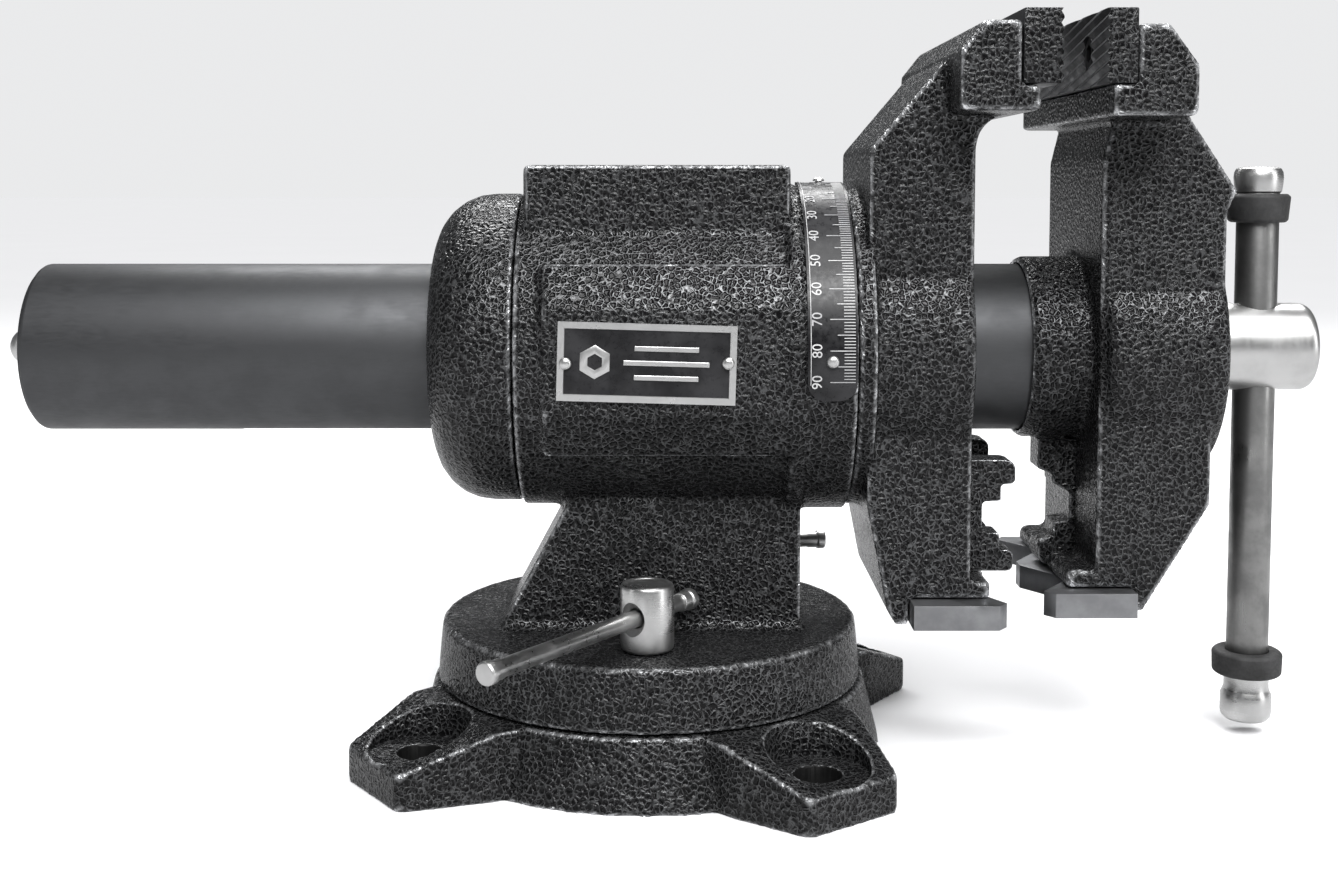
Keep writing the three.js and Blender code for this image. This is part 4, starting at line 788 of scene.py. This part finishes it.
class HandleOperator(bpy.types.Operator):
    """Make the sliding handle with its end knobs and rubber rings"""

    bl_idname = "vise.make_handle"
    bl_label = "Handle"

    def execute(self, context):
        grip = Vector(JOINTS["handle_slide"]["axis"])
        centre = middle("handle_bar")
        top = (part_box("handle_knob_top")[1] - centre).dot(grip) / MM - 0.2
        bottom = (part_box("handle_knob_bottom")[0] - centre).dot(grip) / MM + 0.2
        top_seat = top - 8.6
        bottom_seat = bottom + 15.5
        bar = turned("handle_rod", [(6.8, bottom + 5), (6.8, top - 3)], centre, grip, 64, edge=0.8)
        fit(bar, "handle", "plated_steel", drawn_bar, "handle_bar")

        upper = [
            (6.9, top_seat), (7.4, top_seat + 0.5), (7.7, top_seat + 2.5), (7.9, top - 3.4),
            (7.7, top - 1.7), (7.1, top - 0.6), (6.0, top - 0.1), (3.2, top), (2.8, top - 0.3),
            (0.8, top - 0.3),
        ]
        knob = turned("handle_top_knob", upper, centre, grip, 64, edge=0)
        fit(knob, "handle", "plated_steel", nickel_upright, "handle_knob_top")

        lower = [
            (6.9, bottom_seat), (7.3, bottom_seat - 0.4), (7.3, bottom_seat - 4.2),
            (7.7, bottom_seat - 5.4), (8.3, bottom_seat - 6.8), (8.3, bottom + 3.2),
            (8.0, bottom + 1.5), (7.0, bottom + 0.4), (5.6, bottom), (2.6, bottom),
            (2.2, bottom + 0.3), (0.8, bottom + 0.3),
        ]
        knob = turned("handle_bottom_knob", lower, centre, grip, 64, edge=0)
        fit(knob, "handle", "plated_steel", nickel_upright, "handle_knob_bottom")

        start, end = top_seat - 9.7, top_seat - 0.3
        self.ring("handle_top_buffer", "handle_ring_top", centre, grip, start, end, 9.6, 10.3)
        start, end = bottom_seat + 0.3, bottom_seat + 0.3 + 8
        self.ring("handle_bottom_buffer", "handle_ring_bottom", centre, grip, start, end, 11.2, 11.4)
        return {"FINISHED"}

    def ring(self, name, node, centre, grip, start, end, low_radius, high_radius):
        bore = 6.95
        section = [
            (bore, start), (low_radius - 0.9, start), (low_radius, start + 0.8),
            (high_radius, end - 1.0), (high_radius - 1.0, end), (bore, end), (bore, start),
        ]
        piece = turned(name, section, centre, grip, 64, closed=True, edge=0.35)
        fit(piece, "handle", "rubber", rubber, node)


# ---------------- lock screws
BAR_RISE = 10.8  # from a nut's foot to the line of its bar


def lock_nut(name, foot, height, axis, centre, bar_axis, stem=0.0):
    """A round nut, drilled across for its bar. A screw has a stem below the foot."""
    top = foot + height
    profile = [(6, foot - stem), (6, foot)] if stem else []
    profile += [
        (7.4, foot), (8.2, foot + 0.8), (8.3, foot + 2), (8.3, top - 1.4), (8.0, top - 0.5),
        (7.3, top), (6.2, top), (5.9, top - 0.35), (0.6, top - 0.35),
    ]
    nut = turned(name, profile, centre, axis, 72, edge=0.15)
    drilled = Vector(centre) + Vector(axis) * (foot + BAR_RISE) * MM
    carve(nut, flared_rod(3.1, 6.1, 12, drilled, bar_axis, 40))
    smooth_faces(nut, 30)
    return nut


def lock_bar(name, centre, bar_axis, inner, outer):
    """A bar with a knob upset on its outer end."""
    profile = [
        (2.1, inner), (2.6, inner + 0.6), (2.6, outer - 7), (2.9, outer - 6.4), (2.9, outer - 3.4),
        (3.4, outer - 2.9), (3.4, outer - 0.7), (3.0, outer - 0.1), (0.6, outer),
    ]
    return turned(name, profile, centre, bar_axis, 40, edge=0.15)


def bar_knob(name, centre, bar_axis, inner):
    """The knob pressed on the bar's inner end."""
    profile = [
        (2.7, inner + 7), (3.0, inner + 6.8), (3.0, inner + 3.3), (3.4, inner + 2.8),
        (3.4, inner + 0.7), (3.0, inner + 0.1), (0.6, inner),
    ]
    return turned(name, profile, centre, bar_axis, 40, edge=0.15)


def sliding_bar(name, body, node, crossing, bar_axis, inner, outer):
    """A lock's bar and the knob on its inner end. The bar stops 2 mm inside that knob."""
    bar = lock_bar(name, crossing, bar_axis, inner + 2, outer)
    fit(bar, body, "plated_steel", nickel_plain, node)
    knob = bar_knob(name + "_knob", crossing, bar_axis, inner)
    fit(knob, body, "plated_steel", nickel_plain, node + "_cap")


class SwivelLockOperator(bpy.types.Operator):
    """Make the two lock nuts of the swivel base with their bars"""

    bl_idname = "vise.make_swivel_locks"
    bl_label = "Swivel locks"

    def execute(self, context):
        self.lock("front", inner=-24.3, outer=75.9)
        self.lock("rear", inner=-34.2, outer=65.8)
        return {"FINISHED"}

    def lock(self, side, inner, outer):
        node = f"{side}_lock_nut"
        low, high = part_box(node)
        centre = Vector((0, (low.y + high.y) / 2, 0))
        bar_axis = Vector(JOINTS[f"{side}_bar_slide"]["axis"])
        foot, height = low.z / MM, (high.z - low.z) / MM
        nut = lock_nut(f"{side}_swivel_nut", foot, height, UPWARD, centre, bar_axis)
        fit(nut, f"{side}_lock", "plated_steel", nickel_upright, node)
        crossing = centre + UPWARD * (foot + BAR_RISE) * MM
        sliding_bar(
            f"{side}_swivel_bar", f"{side}_bar", f"{side}_lock_bar", crossing, bar_axis, inner, outer
        )


class HeadLockOperator(bpy.types.Operator):
    """Make the screw that locks the turning head, with its bar"""

    bl_idname = "vise.make_head_lock"
    bl_label = "Head lock"

    def execute(self, context):
        node = "head_lock_screw"
        low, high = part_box(node)
        centre = Vector((middle(node).x, 0, AXIS.z))
        bar_axis = Vector(JOINTS["head_bar_slide"]["axis"])
        height = 20.7
        reach = 38
        foot = high.y / MM - height
        screw = lock_nut("head_clamp_screw", foot, height, ACROSS, centre, bar_axis, foot - low.y / MM)
        fit(screw, "head_lock", "plated_steel", nickel_plain, node)
        crossing = centre + ACROSS * (foot + BAR_RISE) * MM
        sliding_bar("head_clamp_bar", "head_bar", "head_lock_bar", crossing, bar_axis, -reach, reach)
        return {"FINISHED"}


# ---------------- jaw inserts, vee plates and their screws
def socket_screw(name, head_radius, head_length, shank_radius, length, socket):
    """A screw with a hexagon socket, head up along +Z with its top at the origin."""
    profile = [
        (shank_radius * 0.8, -length), (shank_radius, -length + 0.6), (shank_radius, -head_length),
        (head_radius, -head_length), (head_radius, -0.5), (head_radius - 0.5, 0), (0.8, 0),
    ]
    screw = turned(name, profile, Vector(), UPWARD, 40, edge=0.15)
    carve(screw, rod(socket, -head_length * 0.7, 1, Vector(), UPWARD, 6))
    smooth_faces(screw, 30)
    return screw


def set_screw(model, name, node, direction, body):
    """Puts a copy of a screw where the frame has it, its head towards direction."""
    low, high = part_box(node)
    place = (low + high) / 2
    direction = Vector(direction)
    reach = [high[k] if direction[k] > 0 else low[k] for k in range(3)]
    head = Vector([reach[k] if abs(direction[k]) > 0.5 else place[k] for k in range(3)])
    turn = direction.to_track_quat("Z", "Y").to_matrix().to_4x4()
    copy = moved_copy(model, name, Matrix.Translation(head) @ turn)
    return fit(copy, body, "black_screw", blackened, node)


def groove_cutter(settings, face_x, side, low, high):
    """A stack of slanting vee ridges that cut the grooves of an insert's working face."""
    middle_y, middle_z = (low.y + high.y) / 2, (low.z + high.z) / 2
    length = (high.y - low.y) * 1.1
    rise = length * math.tan(settings.slant)
    count = int((high.z - low.z + rise) / settings.pitch) + 2
    pick_nothing()
    bpy.ops.mesh.primitive_cylinder_add(vertices=4, radius=settings.pitch / 2 * 0.96, depth=length)
    ridge = name_piece("cutter")
    ridge.rotation_euler = (math.pi / 2, 0, 0)
    settle(ridge)
    ridge.scale = (2 * settings.depth / settings.pitch, 1, 1)
    ridge.rotation_euler = (-settings.slant, 0, 0)
    settle(ridge)
    step = {"use_constant_offset": True, "constant_offset_displace": (0, 0, settings.pitch)}
    shape(ridge, "ARRAY", count=count, use_relative_offset=False, **step)
    ridge.location = (face_x + side * 0.05 * MM, middle_y, middle_z - count * settings.pitch / 2)
    return settle(ridge)


def serrated_insert(name, node, side, body):
    """A jaw insert: painted ends, and slanting grooves across its working face, which looks to side."""
    low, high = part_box(node)
    piece = slab(name, low, high, edge=0.5)
    face = high.x if side > 0 else low.x
    settings = bpy.context.scene.vise_inserts
    carve(piece, groove_cutter(settings, face, side, low, high))
    for end in ("near", "far"):
        screw = middle(node + "_screw_" + end)
        hole = Vector((face, screw.y, screw.z))
        carve(piece, rod(5.4, -5, 2, hole, ALONG * side, 40))
        carve(piece, rod(3.3, -14, 2, hole, ALONG * side, 24))
    smooth_faces(piece, 30)
    fit(piece, body, "hardened_insert", [hardened, hammertone_unworn], node)
    for face in piece.data.polygons:
        if abs(face.normal.y) > 0.8 and abs(abs(face.center.y) - high.y) < 1.5 * MM:
            face.material_index = 1
    return piece


class InsertsOperator(bpy.types.Operator):
    """Make the serrated jaw inserts and their screws"""

    bl_idname = "vise.make_inserts"
    bl_label = "Jaw inserts"

    def execute(self, context):
        model = socket_screw("insert_screw_model", 5, 3.9, 3, 19.5, 2.9)
        for jaw, side, body in (("fixed", 1, "head"), ("moving", -1, "slider")):
            serrated_insert(f"{jaw}_serrated_insert", f"{jaw}_insert", side, body)
            for end in ("near", "far"):
                name = f"{jaw}_insert_cap_screw_{end}"
                set_screw(model, name, f"{jaw}_insert_screw_{end}", ALONG * side, body)
        bpy.data.meshes.remove(model.data)
        return {"FINISHED"}


class VeePlatesOperator(bpy.types.Operator):
    """Make the notched plates under the jaws and their screws"""

    bl_idname = "vise.make_vee_plates"
    bl_label = "Vee plates"

    def execute(self, context):
        model = socket_screw("vee_screw_model", 4.4, 3, 2.5, 17.2, 2.4)
        for jaw, body in (("fixed", "head"), ("moving", "slider")):
            node = f"{jaw}_vee_plate"
            plate = from_frame(f"{jaw}_notched_plate", node)
            enter_edit(plate)
            bpy.ops.mesh.dissolve_limited(angle_limit=math.radians(2))
            leave_edit()
            soften_edges(plate, 0.45, 40)
            smooth_faces(plate, 30)
            fit(plate, body, "machined_steel", ground_steel, node)
            for end in ("near", "far"):
                set_screw(model, f"{jaw}_plate_cap_screw_{end}", f"{jaw}_vee_screw_{end}", -UPWARD, body)
        bpy.data.meshes.remove(model.data)
        return {"FINISHED"}


# ---------------- nameplate, angle scale and rivets
def dome_rivet(name):
    """A round-headed rivet, head up along +Z with its seat at the origin."""
    profile = [(1.1, -4), (1.1, -0.05), (1.9, 0), (1.85, 0.35)]
    profile += [(1.6, 0.75), (1.15, 1.02), (0.55, 1.16), (0.2, 1.18)]
    return turned(name, profile, Vector(), UPWARD, 32, edge=0)


def set_rivet(model, name, node, direction):
    direction = Vector(direction).normalized()
    low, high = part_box(node)
    centre = (low + high) / 2
    head_top = max((v.co - centre).dot(direction) for v in frame["nodes"][node].data.vertices)
    seat = centre + direction * (head_top - 1.2 * MM)
    turn = direction.to_track_quat("Z", "Y").to_matrix().to_4x4()
    copy = moved_copy(model, name, Matrix.Translation(seat) @ turn)
    fit(copy, "turntable", "plated_steel", nickel_plain, node)


def emblem(face_y, centre, field):
    """Plain raised marks on the plate: a ring nut and three bars."""
    pieces = []
    rise = 0.3 * MM
    left = centre.x - field * 0.29
    ring = [(2.5, 0), (5.2, 0), (5.2, rise / MM), (2.5, rise / MM), (2.5, 0)]
    foot = Vector((left, face_y, centre.z))
    pieces.append(turned("emblem_nut", ring, foot, -ACROSS, 6, closed=True, edge=0.12))
    for row, share in ((1, 0.36), (0, 0.48), (-1, 0.36)):
        half = field * share / 2
        middle_x = centre.x + field * 0.11
        height = centre.z + row * 4.4 * MM
        low = (middle_x - half, face_y - rise, height - 0.75 * MM)
        high = (middle_x + half, face_y, height + 0.75 * MM)
        pieces.append(slab("emblem_bar", low, high, edge=0.12))
    return unite("nameplate_emblem", pieces)


class NameplateOperator(bpy.types.Operator):
    """Make the framed nameplate with plain raised marks, and its rivets"""

    bl_idname = "vise.make_nameplate"
    bl_label = "Nameplate"

    def execute(self, context):
        low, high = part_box("nameplate")
        centre = (low + high) / 2
        length, height, tilt = 0.054, 0.024, math.radians(1.6)
        border, recess = 2 * MM, 0.32 * MM
        low_corner = (centre.x - length / 2, low.y, centre.z - height / 2)
        high_corner = (centre.x + length / 2, high.y, centre.z + height / 2)
        plate = slab("nameplate_panel", low_corner, high_corner, edge=0)
        enter_edit(plate, "FACE")
        bpy.ops.mesh.select_all(action="DESELECT")
        leave_edit()
        for face in plate.data.polygons:
            face.select = face.normal.y < -0.9
        bpy.ops.object.mode_set(mode="EDIT")
        bpy.ops.mesh.inset(thickness=border, depth=0)
        bpy.ops.mesh.inset(thickness=0.12 * MM, depth=-recess)
        leave_edit()
        inner = [face.index for face in plate.data.polygons if face.select]
        marks = emblem(low.y + recess, centre, length)
        turn = Matrix.Rotation(tilt, 4, "Y")
        about = Matrix.Translation(centre) @ turn @ Matrix.Translation(-centre)
        plate.data.transform(about)
        marks.data.transform(about)
        fit(plate, "turntable", "printed_plate", [nickel_plain, printed_black], "nameplate")
        for index in inner:
            plate.data.polygons[index].material_index = 1
        fit(marks, "turntable", "printed_plate", nickel_plain)

        model = dome_rivet("rivet_model")
        for side in ("left", "right"):
            set_rivet(model, f"nameplate_pin_{side}", f"nameplate_rivet_{side}", -ACROSS)
        for end in ("low", "high"):
            node = f"angle_scale_rivet_{end}"
            out = middle(node) - AXIS
            out.x = 0
            set_rivet(model, f"angle_scale_pin_{end}", node, out)
        bpy.data.meshes.remove(model.data)
        return {"FINISHED"}


def wrap_round(piece, radius):
    """Wraps a flat piece about the spindle's line: Y becomes the angle, and Z the height off the radius."""
    for vertex in piece.data.vertices:
        angle = vertex.co.y / radius
        out = radius + vertex.co.z
        x = vertex.co.x
        vertex.co = Vector((x, -out * math.cos(angle), AXIS.z + out * math.sin(angle)))
    piece.data.update()


class AngleScaleOperator(bpy.types.Operator):
    """Make the angle scale: a curved black band with white marks and numbers"""

    bl_idname = "vise.make_angle_scale"
    bl_label = "Angle scale"

    def execute(self, context):
        low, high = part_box("angle_scale")
        outer = abs(low.y)
        start, end = math.radians(-12), math.radians(96)
        self.band(low.x, high.x, outer - 1 * MM, start * outer, end * outer)
        settings = context.scene.vise_scale
        self.marks(settings, low.x + 0.8 * MM, high.x - 0.7 * MM, outer)
        self.numbers(settings, low.x + 2.9 * MM, outer)
        return {"FINISHED"}

    def band(self, left, right, radius, start, end):
        pick_nothing()
        size = (right - left, end - start, 1)
        bpy.ops.mesh.primitive_plane_add(size=1, location=((left + right) / 2, (start + end) / 2, 0))
        band = name_piece("angle_scale_band")
        band.scale = size
        settle(band)
        enter_edit(band)
        bpy.ops.mesh.bevel(offset=5.5 * MM, segments=7, affect="VERTICES")
        steps = 60
        for step in range(1, steps):
            bpy.ops.mesh.select_all(action="SELECT")
            place = start + (end - start) * step / steps
            bpy.ops.mesh.bisect(plane_co=(0, place, 0), plane_no=(0, 1, 0))
        leave_edit()
        shape(band, "SOLIDIFY", thickness=0.9 * MM, offset=1)
        wrap_round(band, radius)
        weld(band)
        smooth_faces(band, 30)
        fit(band, "turntable", "printed_plate", printed_black, "angle_scale")

    def marks(self, settings, left, right, radius):
        strokes = []
        half, sunk, proud = 0.13 * MM, -0.1 * MM, 0.05 * MM
        for reading in range(0, 91):
            length = 7.6 if reading % 10 == 0 else 5.4 if reading % 5 == 0 else 3.4
            place = (settings.first_angle + math.radians(90 - reading)) * radius
            low, high = (right - length * MM, place - half, sunk), (right, place + half, proud)
            strokes.append(slab("stroke", low, high, edge=0))
        for step in range(-1, 98):
            place = (settings.first_angle + math.radians(step)) * radius
            end = place + math.radians(1) * radius
            low, high = (left, place, sunk), (left + 0.2 * MM, end, proud)
            strokes.append(slab("stroke", low, high, edge=0))
        marks = unite("angle_scale_marks", strokes)
        wrap_round(marks, radius)
        fit(marks, "turntable", "printed_plate", printed_white)

    def numbers(self, settings, middle_x, radius):
        figures = []
        for reading in range(0, 91, 10):
            pick_nothing()
            bpy.ops.object.text_add()
            figure = bpy.context.object
            figure.data.body = str(reading)
            figure.data.size = settings.number_height * 1.38
            figure.data.align_x = "CENTER"
            figure.data.align_y = "CENTER"
            figure.data.extrude = 0.06 * MM
            figure.data.resolution_u = 3
            bpy.ops.object.convert(target="MESH")
            figure = bpy.context.object
            figure.rotation_euler = (0, 0, math.pi / 2)
            place = (settings.first_angle + math.radians(90 - reading)) * radius
            figure.location = (middle_x, place, 0)
            figures.append(settle(figure))
        numbers = unite("angle_scale_numbers", figures)
        wrap_round(numbers, radius)
        fit(numbers, "turntable", "printed_plate", printed_white)


# ---------------- inner parts
class InnerPartsOperator(bpy.types.Operator):
    """Finish the frame's own inner parts, which keep their shape"""

    bl_idname = "vise.finish_inner_parts"
    bl_label = "Inner parts"

    def execute(self, context):
        steel = ["pivot_pin", "barrel_retainer", "tube_pin", "moving_pipe_jaw_pin"]
        steel += ["spindle_stop", "spindle_stop_pin", "nut_key"]
        dark = ["front_t_bolt", "rear_t_bolt", "fixed_pipe_jaw_screw"]
        dark += [f"retainer_screw_{k}" for k in (1, 2, 3)]
        cast_bronze = ["spindle_nut", "head_lock_pad"]
        for finish_of, nodes in ((machined, steel), (blackened, dark), (bronze, cast_bronze)):
            for node in nodes:
                materials = frame["nodes"][node].data.materials
                materials.clear()
                materials.append(finish_of())
        return {"FINISHED"}


# ---------------- stage
def soft_light(name, place, target, size, power):
    pick_nothing()
    bpy.ops.object.light_add(type="AREA", location=place)
    light = bpy.context.object
    light.name = name
    light.data.shape = "RECTANGLE"
    light.data.size, light.data.size_y = size
    light.data.energy = power
    light.rotation_mode = "QUATERNION"
    light.rotation_quaternion = (Vector(place) - Vector(target)).to_track_quat("Z", "Y")
    light.visible_camera = False
    return light


class StageOperator(bpy.types.Operator):
    """Make the floor, the lights and the camera"""

    bl_idname = "vise.make_stage"
    bl_label = "Stage"

    def execute(self, context):
        settings = context.scene.vise_stage
        self.floor(settings)
        self.room(settings)
        centre = (frame_low + frame_high) / 2
        soft_light("key", (0.1, -1.0, 1.05), centre, (0.7, 0.5), settings.key_power)
        soft_light("left", (-1.3, -0.5, 0.5), centre, (0.4, 1.0), settings.side_power / 4)
        soft_light("right", (1.3, -0.6, 0.5), centre, (0.4, 1.0), settings.side_power)
        soft_light("behind", (0.1, 0.9, 1.1), centre, (1.4, 0.3), settings.side_power * 4)
        self.daylight(settings)
        self.camera(context)
        return {"FINISHED"}

    def floor(self, settings):
        pick_nothing()
        bpy.ops.mesh.primitive_plane_add(size=60)
        floor = settle(name_piece("studio_floor"))
        material, tree, shader = blank_material("studio floor")
        cloud = noise(tree, place_of(tree), 3.0, 4.0).outputs["Fac"]
        colour = opaque(settings.floor)
        pale = tuple(min(1.0, c * 1.03) for c in settings.floor)
        seen = wire(tree, "LightPath").outputs["Is Camera Ray"]
        dim = opaque(tuple(c * settings.floor_bounce for c in settings.floor))
        shown = blend_colours(tree, seen, dim, blend_colours(tree, cloud, colour, opaque(pale)))
        tree.links.new(shown, shader.inputs["Base Color"])
        shader.inputs["Roughness"].default_value = 0.8
        shader.inputs["Specular IOR Level"].default_value = 0.1
        floor.data.materials.append(material)

    def room(self, settings):
        """A dim room, which the camera sees as a backdrop as pale as the far floor."""
        world = bpy.data.worlds.new("studio room")
        world.use_nodes = True
        tree = world.node_tree
        dim = tree.nodes["Background"]
        dim.inputs["Color"].default_value = (0.95, 0.97, 1.0, 1.0)
        dim.inputs["Strength"].default_value = settings.surround
        backdrop = {"Color": (0.985, 0.99, 1.0, 1.0), "Strength": 0.835}
        white = wire(tree, "Background", backdrop)
        seen = wire(tree, "LightPath").outputs["Is Camera Ray"]
        mixed = wire(tree, "MixShader", {0: seen, 1: dim.outputs[0], 2: white.outputs[0]})
        tree.links.new(mixed.outputs[0], tree.nodes["World Output"].inputs["Surface"])
        bpy.context.scene.world = world
        bpy.context.scene.view_settings.view_transform = "Standard"

    def daylight(self, settings):
        pick_nothing()
        bpy.ops.object.light_add(type="SUN", rotation=(math.radians(28), math.radians(14), 0))
        sun = bpy.context.object
        sun.name = "daylight"
        sun.data.energy = settings.daylight
        sun.data.angle = math.radians(50)

    def camera(self, context):
        pitch = math.radians(4)
        pick_nothing()
        bpy.ops.object.camera_add(location=(0.0067, -0.542, 0.1834), rotation=(math.pi / 2 - pitch, 0, 0))
        camera = bpy.context.object
        camera.name = "studio_camera"
        camera.data.lens = 43.9
        camera.data.sensor_width = 36
        camera.data.shift_y = -0.1
        context.scene.camera = camera


# ---------------- panel and run
MAKERS = (
    CastingsOperator,
    SlideTubeOperator,
    SpindleOperator,
    HandleOperator,
    SwivelLockOperator,
    HeadLockOperator,
    InsertsOperator,
    VeePlatesOperator,
    NameplateOperator,
    AngleScaleOperator,
    InnerPartsOperator,
    StageOperator,
)
SETTINGS = {
    "vise_paint": PaintSettings,
    "vise_castings": CastingSettings,
    "vise_inserts": InsertSettings,
    "vise_thread": ThreadSettings,
    "vise_scale": ScaleSettings,
    "vise_stage": StageSettings,
}


class VisePanel(bpy.types.Panel):
    """Lists the vise's pieces and what may be changed on them"""

    bl_idname = "VISE_PT_pieces"
    bl_label = "Bench Vise"
    bl_space_type = "VIEW_3D"
    bl_region_type = "UI"
    bl_category = "Vise"

    def draw(self, context):
        for name, group in SETTINGS.items():
            box = self.layout.box()
            box.label(text=group.__doc__)
            for setting in group.__annotations__:
                box.prop(getattr(context.scene, name), setting)
        for maker in MAKERS:
            self.layout.operator(maker.bl_idname)


def register():
    for name, group in SETTINGS.items():
        bpy.utils.register_class(group)
        setattr(bpy.types.Scene, name, PointerProperty(type=group))
    for member in (*MAKERS, VisePanel):
        bpy.utils.register_class(member)


def unregister():
    for member in (VisePanel, *reversed(MAKERS)):
        bpy.utils.unregister_class(member)
    for name, group in SETTINGS.items():
        delattr(bpy.types.Scene, name)
        bpy.utils.unregister_class(group)


def main():
    register()
    for maker in MAKERS:
        family, action = maker.bl_idname.split(".")
        getattr(getattr(bpy.ops, family), action)()


if __name__ == "__main__":
    main()
